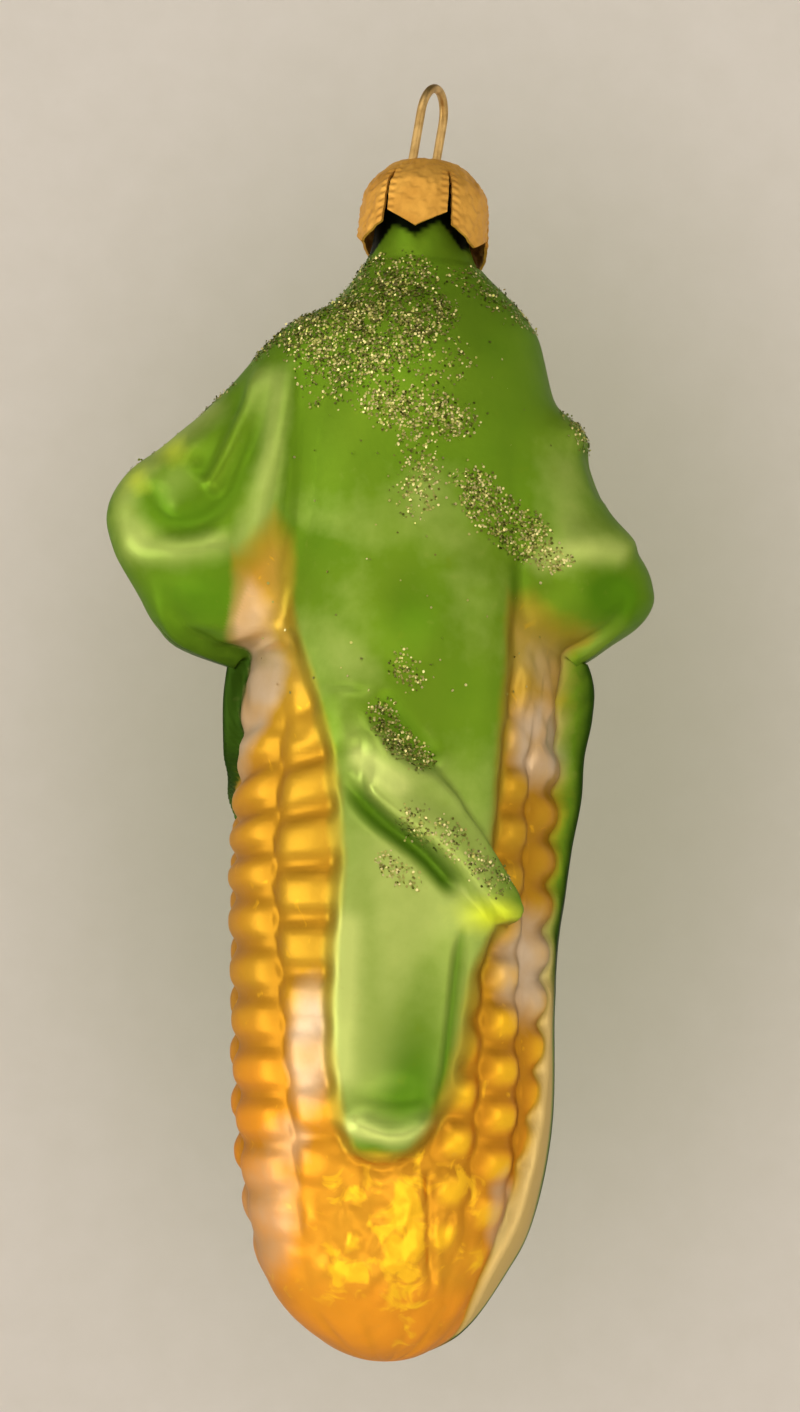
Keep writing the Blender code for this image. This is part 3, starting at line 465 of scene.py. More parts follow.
def pressedFolds(x, z, front, back):
    rise = np.zeros(x.shape)
    for folds, share in ((frontFolds, front), (backFolds, back)):
        for path, height, width in folds:
            smooth = smoothPath(path)
            distance, along = pathDistance(x, z, smooth)
            place = along / (len(smooth) - 1)
            fade = smoothStep(0, 0.2, place) * smoothStep(1, 0.8, place)  # over a fifth at both ends
            rise = rise + share * height * fade * np.exp(-(distance / width) ** 2)
    for centreX, centreZ, height, reachX, reachZ in frontDents:
        rise = rise + front * height * blob(x, z, centreX, centreZ, reachX, reachZ)
    return rise


def reliefRise(x, y, z, facing):
    # how far the glass stands out from the plain cob and side leaves, and the pressed folds alone
    def fade(name, value=z):
        return smoothStep(*relief[name], value)

    degrees = cobDegrees(x, y, z)
    front = fade("facing", facing)
    back = fade("facing", -facing)
    leafShare, flapShare, flapHeight, backShare = huskCover(x, y, z, facing)
    cover = np.maximum(np.maximum(leafShare, flapShare), np.maximum(backShare, fade("shoulder")))
    bare = (1 - cover) * fade("kernelTop")
    across, down = kernelShape(degrees, z)
    kernel = kernelRows["crown"] - kernelRows["betweenColumns"] * (1 - across)
    inColumns = relief["rowsInColumns"]
    kernel = kernel - kernelRows["betweenKernels"] * (1 - down) * (inColumns + (1 - inColumns) * across)
    left, right = relief["wideX"]
    wide = smoothStep(*left, x) * smoothStep(*right, x) * front
    kernel = kernel - kernelRows["dimple"] * wide * fade("dimpleDown", down) * across
    crinkled = blob(x, z, *relief["crinkled"]) * front
    most, reach = relief["crinkledSmoother"]
    smoother = most * np.minimum(reach * crinkled, 1)
    for share, *place in relief["smoother"]:
        smoother = np.maximum(smoother, share * front * blob(x, z, *place))
    foot = relief["footShare"] + (1 - relief["footShare"]) * fade("kernelFoot")
    rise = bare * kernel * foot * (1 - smoother)
    rise = rise + crinkled * (1 - cover) * relief["crinkleRise"] * lumps(x, y, z, *relief["crinkle"])
    crumple = (1 - cover) * fade("crumpleTop", z + relief["crumpleRight"] * (x > 0)) * fade("crumpleFoot")
    rise = rise + crumple * lumps(x, y, z, *relief["crumple"])
    leafRise = huskLeaves["frontRise"] * leafShare * fade("frontLift")
    flapRise = flapShare * (huskLeaves["frontRise"] * fade("frontLift") + flapHeight)
    rise = rise + np.maximum(leafRise, flapRise)
    onRight = fade("backSidesX", x)
    backRise = curveAt(huskLeaves["backRiseRight"], z) * onRight
    backRise = backRise + curveAt(huskLeaves["backRiseLeft"], z) * (1 - onRight)
    rise = rise + backShare * backRise * fade("backLift")
    veins = np.cos(np.radians((degrees - relief["veinMiddle"]) * 360 / relief["veinDegrees"]))
    for edge in relief["veinEdges"]:
        veins = veins * smoothStep(*edge, degrees)
    rise = rise + backShare * relief["veinRise"] * veins
    pressed = pressedFolds(x, z, front, back)
    rise = rise + pressed + lumps(x, y, z, relief["uneven"])
    return rise * fade("neck"), pressed


def gridNormals(x, y, z):
    across = [np.roll(axis, -1, axis=1) - np.roll(axis, 1, axis=1) for axis in (x, y, z)]
    down = [np.gradient(axis, axis=0) for axis in (x, y, z)]
    normal = np.cross(np.stack(down, axis=-1), np.stack(across, axis=-1))
    return normal / np.maximum(np.linalg.norm(normal, axis=-1, keepdims=True), 1e-9)


def glassGrid():
    heights = rowHeights(glass["rows"])
    x = np.zeros((glass["rows"], glass["columns"]))
    y = np.zeros_like(x)
    for row, height in enumerate(heights):
        x[row], y[row] = sectionRing(height, glass["columns"])
    z = np.repeat(heights[:, None], glass["columns"], axis=1)
    normal = gridNormals(x, y, z)
    facing = -normal[..., 1]
    rise, pressed = reliefRise(x, y, z, facing)
    shaped = (x + normal[..., 0] * rise, y + normal[..., 1] * rise, z + normal[..., 2] * rise)
    return (x, y, z), shaped, facing, pressed


def ringFaces(rows, columns):
    a = (np.arange(rows - 1)[:, None] * columns + np.arange(columns)[None, :]).ravel()
    b = (np.arange(rows - 1)[:, None] * columns + (np.arange(columns) + 1)[None, :] % columns).ravel()
    return np.stack([a, a + columns, b + columns, b], axis=1)


def buildGlass():
    base, shaped, facing, pressed = glassGrid()
    x, y, z = shaped
    rows, columns = x.shape
    axis = glass["axisX"] * mm
    points = np.stack([(x + glass["axisX"]).ravel(), y.ravel(), (z - glass["drop"]).ravel()], axis=1) * mm
    tipX = float(curveAt(glass["cobShift"], glass["tipEnd"])) + glass["axisX"]
    tip = np.array([[tipX, 0, glass["tipEnd"] - glass["drop"]]]) * mm
    rims = []
    for share, depth in glass["rim"]:
        ring = points[:columns].copy()
        ring[:, 0] = (ring[:, 0] - axis) * share + axis
        ring[:, 1] = ring[:, 1] * share
        ring[:, 2] = ring[:, 2] - depth * mm
        rims.append(ring)
    verts = np.concatenate([*rims, points, tip])
    faces = [tuple(face) for face in ringFaces(rows + len(rims), columns)]
    last = (rows + len(rims) - 1) * columns
    faces.extend((last + i, len(verts) - 1, last + (i + 1) % columns) for i in range(columns))
    item = meshObject("lacqueredGlassCob", verts, faces)
    bx, by, bz = (side.ravel() for side in base)
    masks = paintMasks(bx, by, bz, facing.ravel(), pressed.ravel())
    pad = np.zeros(len(rims) * columns)
    for name, values in masks.items():
        addMask(item, name, np.concatenate([pad + values[0], values, [values[-1]]]))
    return item


# painted highlights laid along these paths of x and height: how strong and how wide
highlightStrokes = [
    ([(-20.5, -32.6), (-22.5, -34.3), (-26.2, -37.9), (-28.2, -40.4), (-28.4, -43.4), (-26.4, -46)],
        0.5, 1.7),
    ([(-26.4, -46.2), (-23, -47.2), (-18.6, -46.4)], 0.35, 1.6),
    ([(-14.2, -30), (-14.6, -38), (-15.4, -43), (-17, -46.5)], 0.38, 1.5),
    ([(-23.6, -40.4), (-24.6, -41.6)], 0.6, 1.8),
    ([(14.4, -38), (15.4, -43), (15.8, -46)], 0.2, 2.2),
    ([(12.6, -47.4), (15.4, -46.2), (20, -46.3)], 0.5, 1.4),
    ([(17.5, -54.2), (21, -52.6)], 0.12, 1.1),
    ([(1.6, -41.5), (3.4, -45.5)], 0.25, 3),
    ([(-5.6, -52), (-5.2, -58)], 0.14, 2.4),
    ([(4.6, -50), (6.4, -56)], 0.12, 2.6),
    ([(-4.9, -84), (-5, -98)], 0.55, 1.4),
    ([(-4, -103), (-0.5, -104.2), (3.6, -102.6)], 0.7, 0.7),
    ([(-4.2, -67.6), (-2.6, -69), (-0.8, -70.4)], 0.75, 1),
]
# share along paths, used for painted highlights and painted shade
def brushed(x, z, strokes):
    share = np.zeros(x.shape)
    for path, strength, width in strokes:
        distance = pathDistance(x, z, path)[0]
        share = np.maximum(share, strength * np.exp(-(distance / width) ** 2))
    return share


# soft spots of paint: x, height, reach across, reach down, how strong
paintSpots = {
    "pearl": [(-8.4, -95.3, 2.4, 6.2, 0.85), (13.3, -65, 3.3, 4.4, 0.95), (12.6, -87, 3.2, 5.4, 0.95),
        (14.4, -57.4, 3, 3.2, 0.35), (10.8, -112, 1.7, 5, 0.6), (-12.4, -112, 3.4, 6.4, 0.5),
        (-10.6, -105, 2.6, 3, 0.35)],
    # painted glare: bright flaky yellow standing in for light reflected low on the front
    "paintedGlare": [(1.5, -113.6, 2.8, 7.4, 1), (-4.4, -116.4, 3.6, 3.4, 0.7), (-4.6, -109.4, 3.2, 2.8, 0.55),
        (6.6, -108.6, 1.8, 2.8, 0.7), (8.4, -115.6, 2, 1.6, 0.6), (-8, -107, 2.4, 1.4, 0.4)],
    # painted shade: deep green spots where shade falls, and spots kept free of the paler green and painted
    # highlights
    "poolAndShade": [(-3, -106, 2.2, 1.2, 0.8), (20.4, -50.4, 3, 2.6, 1), (-20.6, -52, 6, 4, 0.8),
        (1.4, -98.4, 3, 4.6, 1)],
    "paleFreeShade": [(2, -95, 2.6, 8, 0.6), (-2.6, -105.6, 3.4, 1.5, 1)],
    # painted highlights: bright yellow green glints on the fold's tip and on the left side leaf
    "glintOnFold": [(7.6, -82.4, 2.3, 1.6, 0.9)],
    "glintOnSideLeaf": [(-24.2, -36.8, 1.6, 1.4, 0.45), (-27.6, -39.8, 1.2, 1.6, 0.35)],
    "plainGroove": [(-0.6, -113.5, 7, 7, 1)],
}

paint = {
    # a pair is where a fade starts and where it is full: heights, unless its name says otherwise
    "facing": (-0.25, 0.15),
    "wander": (1, 7, 2),      # lumps the brush wandered by: share, size and seed
    "leafWander": (0.2, 0.4), "leafSoft": 1.5, "leafTip": (-106.6, -104.8),
    "backShift": (1.6, -3.6), "backSoft": 2.5,    # degrees the back paint is moved by, right and left
    # lower edge of the green on both side leaves, and how it slants with x
    "sideEdge": (-53, -45.6), "sideWander": 0.8, "sideFoot": (-62, -59),
    "slantRightX": (2, 10), "slantRight": 3.4, "slantSteep": (0.6, 12.2), "slantLeft": (4.4, -13.6, 3.6),
    "leftX": (15.6, 18.2), "leftLower": 0.8, "leftLowerSpan": (-50, -54), "leftWander": 0.4,
    "rightX": (15, 20), "rightWander": 0.5,
    "lowerLeaf": (-62, -78), "paleLeaf": 0.43,
    "paleFlap": 0.42, "flapTop": (-62, -70), "flapX": (10.6, 6),
    # painted highlight on the folds' ridges, and how much of it painted shade keeps out of their valleys
    "paleFolds": (0.25, 0.9), "paleValleys": 0.8,
    "paleCloud": 0.24, "cloudLumps": (1, 13, 6), "cloudFrom": (0, 0.7), "cloudTop": (-38, -44),
    # deep green in the folds' valleys, partly pooled lacquer and partly painted shade; deeper green on the
    # back leaf's strip at the left
    "foldPoolAndShade": (0.8, 1.3), "leftStripGreen": 0.4, "leftStripX": (-16.6, -19), "leftStripTop": (-57, -60),
    # painted shade along the groove in the lower leaf
    "grooveShade": (0.4, 0.35),
    "groovePath": [(5.5, -84), (5.1, -88.8), (4.7, -94), (4.3, -98.2), (3.4, -102.2)],
    # right edge of the pearl strip under the left side leaf
    "pearlEdge": [(-48, -16), (-52, -14.4), (-56, -13.6), (-58, -12.2), (-60.5, -12), (-63.5, -13.6),
        (-68, -15.6), (-72, -18)],
    "pearlStrip": (0.64, 0.31), "stripLower": (-55, -60), "stripTop": (-47.6, -52), "stripSoft": 1,
    "pearlSpot": (0.1, 0.8), "pearlCloud": (0.3, 3.4, 5), "pearlShare": 0.85,
    "orangeSpan": (-84, -104), "orangeX": (4, 12), "orangeTip": (-113, -121),
    "orangeSide": 0.35, "orangeSideX": (12, 16),
    "creamDegrees": (82, 76), "creamLow": (-78, -92), "creamHigh": 0.3, "creamTop": (-56, -62),
    "rimLow": (-84, -96), "rimLowDegrees": (80, 85), "rimDegrees": (-0.4, 1.4), "rimEnd": (120, 100),
    "rimLeft": (240, 262), "rimLeftEnd": (284, 279), "rimTop": (-52, -58),
    "grooveDrop": 0.35, "grooveTop": (-60, -70), "grooveFoot": (-119, -108), "footShare": 0.3,
    # where the painted highlight on the kernels' crowns lies
    "kernelHighlightX": (2, 5), "kernelHighlightTop": (-82, -86), "kernelHighlightFoot": (-117, -113),
    "tanFoot": (-64, -56), "tanLeft": 0.6, "tanX": (0, 6),
    # the shade held under the zigzag edge of the cap: height of its points, how deep its notches are,
    # how much lower it hangs behind, and its turn
    "capEdge": (-0.5, 0.1), "capNotch": -12.5, "capPoint": 1.7, "capLean": 2.8, "capTurn": -7,
    "petalDegrees": 60,
    "edgeOnSides": 0.6,       # how much of the brown edge is left out on the side leaves
}


def paintMasks(x, y, z, facing, pressed):
    # where each lacquer lies, as soft shares that wander like a brush edge
    def fade(name, value=z):
        return smoothStep(*paint[name], value)

    def share(least, mask):
        return least + (1 - least) * mask

    degrees = cobDegrees(x, y, z)
    front = fade("facing", facing)
    wander = lumps(x, y, z, paint["wander"])
    moveX, moveZ = paint["leafWander"]
    leaf = frontLeaf(x + moveX * wander, z + moveZ * wander, paint["leafSoft"]) * front * fade("leafTip")
    flapShare = flapLeaf(x, z)[0] * front
    shiftRight, shiftLeft = paint["backShift"]
    backShare = backLeaf(degrees + np.where(degrees > 180, shiftLeft, shiftRight), z, paint["backSoft"])

    steep, steepX = paint["slantSteep"]
    slant = paint["slantRight"] * fade("slantRightX", x) + steep * np.maximum(x - steepX, 0)
    drop, dropX, reach = paint["slantLeft"]
    slant = slant - drop * np.clip(1 - np.abs(x - dropX) / reach, 0, 1)
    side = fade("sideEdge", z + paint["sideWander"] * wander + slant)
    start, full = paint["leftX"]
    start = start + paint["leftLower"] * fade("leftLowerSpan")
    atLeft = smoothStep(start, full, -x + paint["leftWander"] * wander)
    atRight = fade("rightX", x + paint["rightWander"] * wander)
    side = np.maximum(side, np.maximum(atLeft, atRight) * fade("sideFoot"))
    green = np.maximum(np.maximum(leaf, flapShare), np.maximum(backShare, side))

    # paler green on the lower leaf, the fold and in clouds, with painted highlights on the folds' ridges and
    # along the highlight strokes
    pale = paint["paleLeaf"] * leaf * fade("lowerLeaf") * (1 - flapShare)
    pale = pale + paint["paleFlap"] * flapShare * fade("flapTop") * fade("flapX", x)
    strength, fullRise = paint["paleFolds"]
    pale = pale + strength * np.clip(pressed / fullRise, 0, 1) + brushed(x, z, highlightStrokes) * front
    cloud = fade("cloudFrom", lumps(x, y, z, paint["cloudLumps"]))
    pale = pale + paint["paleCloud"] * leaf * cloud * fade("cloudTop")
    # painted shade: no paler green or painted highlight in these spots
    for spot in paintSpots["paleFreeShade"]:
        pale = pale * (1 - spots(x, z, [spot]))
    pale = pale * (1 - paint["paleValleys"] * np.clip(-pressed, 0, 1))

    # deep green: pooled lacquer and painted shade in the folds' valleys, painted shade in spots and along the
    # lower leaf's groove, deeper green on the back leaf's strip at the left
    strength, fullDepth = paint["foldPoolAndShade"]
    poolAndShade = strength * np.clip(-pressed / fullDepth, 0, 1) + spots(x, z, paintSpots["poolAndShade"])
    poolAndShade = poolAndShade + paint["leftStripGreen"] * fade("leftStripX", x) * fade("leftStripTop")
    strength, width = paint["grooveShade"]
    poolAndShade = poolAndShade + brushed(x, z, [(paint["groovePath"], strength, width)]) * leaf

    strip, lower = paint["pearlStrip"]
    soft = paint["stripSoft"]
    inStrip = curveAt(paint["pearlEdge"], z) - x + paint["sideWander"] * wander
    pearl = (strip + lower * fade("stripLower")) * smoothStep(-soft, soft, inStrip)
    pearl = pearl * fade("stripTop") * (x < 0)
    for *place, strength in paintSpots["pearl"]:
        pearl = np.maximum(pearl, strength * fade("pearlSpot", blob(x, z, *place)))
    pearl = pearl * (paint["pearlShare"] + lumps(x, y, z, paint["pearlCloud"]))

    orange = fade("orangeSpan") * share(0.5, fade("orangeX", np.abs(x)))
    orange = np.maximum(orange, fade("orangeTip"))
    orange = np.maximum(orange, paint["orangeSide"] * fade("orangeSideX", np.abs(x)))
    cream = backShare * fade("creamDegrees", degrees) * fade("creamTop")
    cream = cream * share(paint["creamHigh"], fade("creamLow"))
    # painted shade: a very dark green line along the back leaf's edge where it turns away
    low = fade("rimLow")
    rim = low * fade("rimLowDegrees", degrees)
    rim = rim + (1 - low) * fade("rimDegrees", degrees - curveAt(huskLeaves["backRight"], z))
    rim = np.maximum(rim * fade("rimEnd", degrees), fade("rimLeft", degrees) * fade("rimLeftEnd", degrees))
    rim = rim * backShare * fade("rimTop")

    # darker amber in the lines between kernels: pooled lacquer and painted shade
    across, down = kernelShape(degrees, z + paint["grooveDrop"])
    groove = (1 - across * down) * (1 - green) * fade("grooveTop")
    groove = groove * share(paint["footShare"], fade("grooveFoot"))
    groove = groove * (1 - spots(x, z, paintSpots["plainGroove"]))
    # painted highlight: bright yellow on the crowns of the kernels low on the right
    kernelHighlight = (across * down) ** 2 * front * (1 - green)
    kernelHighlight = kernelHighlight * fade("kernelHighlightX", x) * fade("kernelHighlightTop") * fade("kernelHighlightFoot")
    # painted highlights on the fold's tip and the left side leaf
    paintedGlint = spots(x, z, paintSpots["glintOnFold"]) * leaf + spots(x, z, paintSpots["glintOnSideLeaf"])
    tan = fade("tanFoot") * (1 - green) * share(paint["tanLeft"], fade("tanX", x))
    # painted glare of bright flaky yellow low on the front
    paintedGlare = spots(x, z, paintSpots["paintedGlare"], np.maximum)

    turned = np.arctan2(x, -y)
    petal = (np.degrees(turned) - paint["capTurn"]) / paint["petalDegrees"]
    fromMiddle = 2 * np.abs(petal - np.round(petal))
    capEdge = paint["capNotch"] - paint["capPoint"] * (1 - fromMiddle)
    capEdge = capEdge - paint["capLean"] * (1 - np.cos(turned))
    brushEdge = 4 * green * (1 - green) * (1 - paint["edgeOnSides"] * side) * (1 - backShare) ** 2
    return {
        "groove": groove,
        "tan": tan,
        "underCap": fade("capEdge", z - capEdge),
        "green": green,
        "pale": np.clip(pale, 0, 1),
        "poolAndShade": np.clip(poolAndShade, 0, 1),
        "pearl": pearl * front,
        "orange": orange,
        "brushEdge": brushEdge,
        "paintedGlare": np.clip(paintedGlare, 0, 1) * front,
        "cream": cream,
        "rim": rim,
        "kernelHighlight": kernelHighlight,
        "paintedGlint": np.clip(paintedGlint, 0, 1) * front,
    }


lacquer = {
    "green": "6f9222",
    "deepGreen": "4c7d0e",
    # very dark green of the painted shade along the back leaf's edge
    "rim": "2a440c",
    "paleGreen": "c6d678",
    # colour of the painted glints
    "paintedGlint": "e0f038",
    "underCap": "0c1208",
    "brushEdge": "a08628",    # brown where the brushed green ends over the amber
    "amber": "cb9d2c",
    "orange": "f2a02c",
    # darker amber of the lines between kernels, pooled lacquer and painted shade
    "groove": "b07a1a",
    "tan": "bca24c",
    # colour of the painted glare, also used for the painted highlights on the kernels
    "paintedGlare": "ffc62c",
    "pearl": "d8c2a6",
    "cream": "dcc07c",
    "noises": {               # size in millimetres, detail, distortion
        "cloud": (9, 3, 0),          # soft clouds left by the brush
        "crinkle": (2.6, 2.5, 1.2),  # the flaky marks of the painted glare low on the front
        "edge": (1.6, 3, 0),         # unevenness of every painted edge
        "grain": (0.8, 2, 0),        # orange peel of the dried lacquer, a little coarser than it is
    },
    "cloudSpan": (0.35, 0.68), "cloudShare": 0.35,   # the part of the noise that shows, and how strongly
    "uneven": 0.24, "maskSpan": (0.04, 0.96),
    "glareMasked": 0.45, "glareSpan": (0.66, 0.84),    # the painted glare's flaky marks show where both together are high
    "strengths": {"green": 1, "pale": 1, "poolAndShade": 0.8, "pearl": 0.95, "orange": 1, "brushEdge": 0.6, "paintedGlare": 1,
                  "cream": 1, "rim": 1, "groove": 0.65, "tan": 1, "underCap": 1, "kernelHighlight": 1, "paintedGlint": 1},
    "metallic": 0.55,
    "roughness": (0.31, 0.42),
    "grainBump": (0.12, 0.15),  # strength, and depth in millimetres
    "greenDuller": 0.07,
    "specular": 0.25,
    "edgeTint": "5c5c34",
}


def lacquerMaterial():
    # silvered glass under brushed satin lacquer: a tinted metal sheen with soft, blurred highlights
    material, tree = newMaterial("silvered glass, brushed satin lacquer")
    place = addNode(tree, "TexCoord")
    noises = {}
    for name, (size, detail, distortion) in lacquer["noises"].items():
        settings = {"Scale": 1000 / size, "Detail": detail, "Distortion": distortion}
        noises[name] = (addNode(tree, "TexNoise", settings, {"Vector": (place, "Object")}), "Fac")
    low, high = lacquer["cloudSpan"]
    cloud = addNode(tree, "MapRange",
                    {"From Min": low, "From Max": high, "To Max": lacquer["cloudShare"]},
                    {"Value": noises["cloud"]})
    uneven = addNode(tree, "Math",
                     {"operation": "MULTIPLY_ADD", 1: lacquer["uneven"], 2: -lacquer["uneven"] / 2},
                     {0: noises["edge"]})
    shares = {"cloud": (cloud, "Result")}
    low, high = lacquer["maskSpan"]
    for name, strength in lacquer["strengths"].items():
        mask = addNode(tree, "Attribute", {"attribute_name": name})
        moved = addNode(tree, "Math", {"operation": "ADD"}, {0: (mask, "Fac"), 1: (uneven, "Value")})
        ranged = addNode(tree, "MapRange", {"From Min": low, "From Max": high, "To Max": strength},
                         {"Value": (moved, "Value")})
        shares[name] = (ranged, "Result")
    glareMarks = addNode(tree, "Math", {"operation": "MULTIPLY_ADD", 1: lacquer["glareMasked"]},
                     {0: shares["paintedGlare"], 2: noises["crinkle"]})
    low, high = lacquer["glareSpan"]
    shares["paintedGlare"] = (addNode(tree, "MapRange", {"From Min": low, "From Max": high},
                              {"Value": (glareMarks, "Value")}), "Result")

    # the yellow side and the green side are layered apart, then laid over each other
    sides = {}
    for side, first, layers in (
            ("corn", "amber", [("tan", "tan"), ("orange", "orange"), ("groove", "groove"), ("paintedGlare", "paintedGlare"),
                               ("kernelHighlight", "paintedGlare"), ("pearl", "pearl")]),
            ("husk", "green", [("cloud", "deepGreen"), ("pale", "paleGreen"), ("poolAndShade", "deepGreen"),
                               ("paintedGlint", "paintedGlint"), ("cream", "cream"), ("rim", "rim"),
                               ("underCap", "underCap")])):
        paintNode = addNode(tree, "RGB")
        paintNode.outputs[0].default_value = hexToLinear(lacquer[first])
        top = (paintNode, 0)
        for mask, code in layers:
            mixed = addNode(tree, "Mix", {"data_type": "RGBA", 7: hexToLinear(lacquer[code])},
                            {0: shares[mask], 6: top})
            top = (mixed, 2)
        sides[side] = top
    both = addNode(tree, "Mix", {"data_type": "RGBA"},
                   {0: shares["green"], 6: sides["corn"], 7: sides["husk"]})
    colour = addNode(tree, "Mix", {"data_type": "RGBA", 7: hexToLinear(lacquer["brushEdge"])},
                     {0: shares["brushEdge"], 6: (both, 2)})
    strength, depth = lacquer["grainBump"]
    bump = addNode(tree, "Bump", {"Strength": strength, "Distance": depth * mm},
                   {"Height": noises["grain"]})
    low, high = lacquer["roughness"]
    rough = addNode(tree, "MapRange",
                    {"From Min": 0.3, "From Max": 0.7, "To Min": low, "To Max": high},
                    {"Value": noises["cloud"]})
    satin = addNode(tree, "Math", {"operation": "MULTIPLY_ADD", 1: lacquer["greenDuller"]},
                    {0: shares["green"], 2: (rough, "Result")})
    shader = addNode(tree, "BsdfPrincipled",
                     {"Metallic": lacquer["metallic"], "Specular IOR Level": lacquer["specular"],
                      "Specular Tint": hexToLinear(lacquer["edgeTint"])},
                     {"Base Color": (colour, 2), "Normal": (bump, "Normal"), "Roughness": (satin, "Value")})
    addNode(tree, "OutputMaterial", None, {"Surface": (shader, "BSDF")})
    return material


glassCob = buildGlass()
glassCob.data.materials.append(lacquerMaterial())
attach(glassCob, "root")
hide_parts("glass_body")
print("glass built", len(glassCob.data.polygons), "faces")


cap = {
    "profile": [(0, -6.4), (2, -6.4), (3.2, -6.42), (3.7, -6.62), (4.5, -7.3), (5.5, -8.35), (6.15, -9.4),
        (6.45, -10.8), (6.6, -13), (6.8, -18)],
    "thickness": 0.28,
    "petals": 6,
    "turnDegrees": -7,
    "pitchDegrees": 5,
    "rollDegrees": 2.6,
    "shiftX": 0.45,
    "petalColumns": 36,
    "petalRows": 52,
    "domeRings": 30,
    "gap": (0.2, 0.6),        # width of the slits between the petals, at the top and at the ends
    "slitRadius": 5.3,
    "sideLength": 5.3,
    "tipLength": 1.7,
    "extra": [-0.4, 0.8, 1.4, 0.3, 0.4, 0.6],   # how much longer each petal is
    "inset": 0.06, "slopeStep": 0.1, "sharpDegrees": 50, "pivot": -8,
    # embossed ribs down both edges of a petal; starts and ends are shares of its half width
    "ribPitch": 0.8, "ribRise": 0.08, "ribSlant": 0.5, "ribStart": (0.70, 0.84), "ribEnd": (1, 0.96),
    "barkRise": 0.08, "barkRadius": 6.2, "bark": [(1, 1.3, 1), (0.7, 0.7, 3)],
    "veinSlant": 1.4, "veinPitch": 1.5, "veinBend": 1.2, "veinShare": 0.35,
    "petalFade": (2.6, 0.6),
    # gold anodised sheet, stamped: a soft matte gold mottled with darker gold
    "colour": "dea948", "dark": "c69036", "darkTone": (1, 1, 1), "toneSpots": (0.3, 0.62),
    "cloudMm": 2.5, "cloudDetail": 4,
    "grain": (0.25, 0.25, 0.06),   # size, strength and depth, coarser than the sheet's so that it shows
    "metallic": 0.65, "roughness": 0.55,
}

capRun = np.concatenate([[0], np.cumsum([math.hypot(b[0] - a[0], b[1] - a[1])
                                         for a, b in zip(cap["profile"], cap["profile"][1:])])])


def capProfileAt(length):
    # smooth outer profile of the cap, radius and height, at a length out from its middle
    return [curveAt(list(zip(capRun, side)), length) for side in zip(*cap["profile"])]


def capLengthAt(radius):
    lengths = np.linspace(0, capRun[-1], 2000)
    return float(lengths[np.argmax(capProfileAt(lengths)[0] >= radius)])


def petalHalfAngle(down):
    gap = cap["gap"][0] + (cap["gap"][1] - cap["gap"][0]) * down
    radius = cap["slitRadius"] + (cap["profile"][-2][0] - cap["slitRadius"]) * np.minimum(2 * down, 1)
    return math.pi / cap["petals"] - gap * 0.5 / radius


def capEmboss(share, length, angle, slit):
    # short ribs along the petal's edges and rough bark over the rest
    off = np.abs(share)
    ribs = np.cos(2 * math.pi * (length + cap["ribSlant"] * off) / cap["ribPitch"])
    edge = smoothStep(*cap["ribStart"], off) * smoothStep(*cap["ribEnd"], off)
    around = cap["barkRadius"] * angle
    bark = lumps(around, 0 * around, length, *cap["bark"])
    vein = np.cos(2 * math.pi * (length + cap["veinSlant"] * off) / cap["veinPitch"] + cap["veinBend"] * bark)
    above, below = cap["petalFade"]
    onPetal = smoothStep(slit - above, slit - below, length)
    rise = edge * ribs * cap["ribRise"] * onPetal
    return rise + (1 - edge) * cap["barkRise"] * (bark + cap["veinShare"] * vein) * (0.5 + 0.5 * onPetal)


def capPoints(depth):
    slit = capLengthAt(cap["slitRadius"])
    turn = math.radians(cap["turnDegrees"])
    spread = math.pi / cap["petals"]
    shares = np.linspace(-1, 1, cap["petalColumns"] + 1)
    rings = [([0], [0], [1])]
    for ring in range(1, cap["domeRings"] + 1):
        length = slit * ring / cap["domeRings"]
        for petal in range(cap["petals"]):
            angle = turn + 2 * spread * petal + shares * petalHalfAngle(0)
            rings.append((np.full_like(shares, length), angle, shares))
    for row in range(1, cap["petalRows"] + 1):
        down = row / cap["petalRows"]
        for petal in range(cap["petals"]):
            end = cap["sideLength"] + cap["extra"][petal] + cap["tipLength"] * (1 - np.abs(shares))
            angle = turn + 2 * spread * petal + shares * petalHalfAngle(down)
            rings.append((slit + down * end, angle, shares))
    length, angle, share = (np.concatenate(parts) for parts in zip(*rings))
    radius, height = capProfileAt(length)
    ahead = capProfileAt(length + cap["slopeStep"])
    behind = capProfileAt(np.maximum(length - cap["slopeStep"], 0))
    runR = ahead[0] - behind[0]
    runZ = ahead[1] - behind[1]
    run = np.hypot(runR, runZ)
    rise = capEmboss(share, length, angle, slit) - depth - cap["inset"]
    radius = radius - runZ / run * rise
    height = height + runR / run * rise
    return tiltCap(radius * np.sin(angle), -radius * np.cos(angle), height)


def tiltCap(x, y, z):
    # the cap sits a little askew on the neck
    z = z - cap["pivot"]
    pitch = math.radians(cap["pitchDegrees"])
    y, z = y * math.cos(pitch) + z * math.sin(pitch), z * math.cos(pitch) - y * math.sin(pitch)
    roll = math.radians(cap["rollDegrees"])
    x, z = x * math.cos(roll) + z * math.sin(roll), z * math.cos(roll) - x * math.sin(roll)
    return np.stack([x + glass["axisX"] + cap["shiftX"], y, z + cap["pivot"] - glass["drop"]], axis=1) * mm


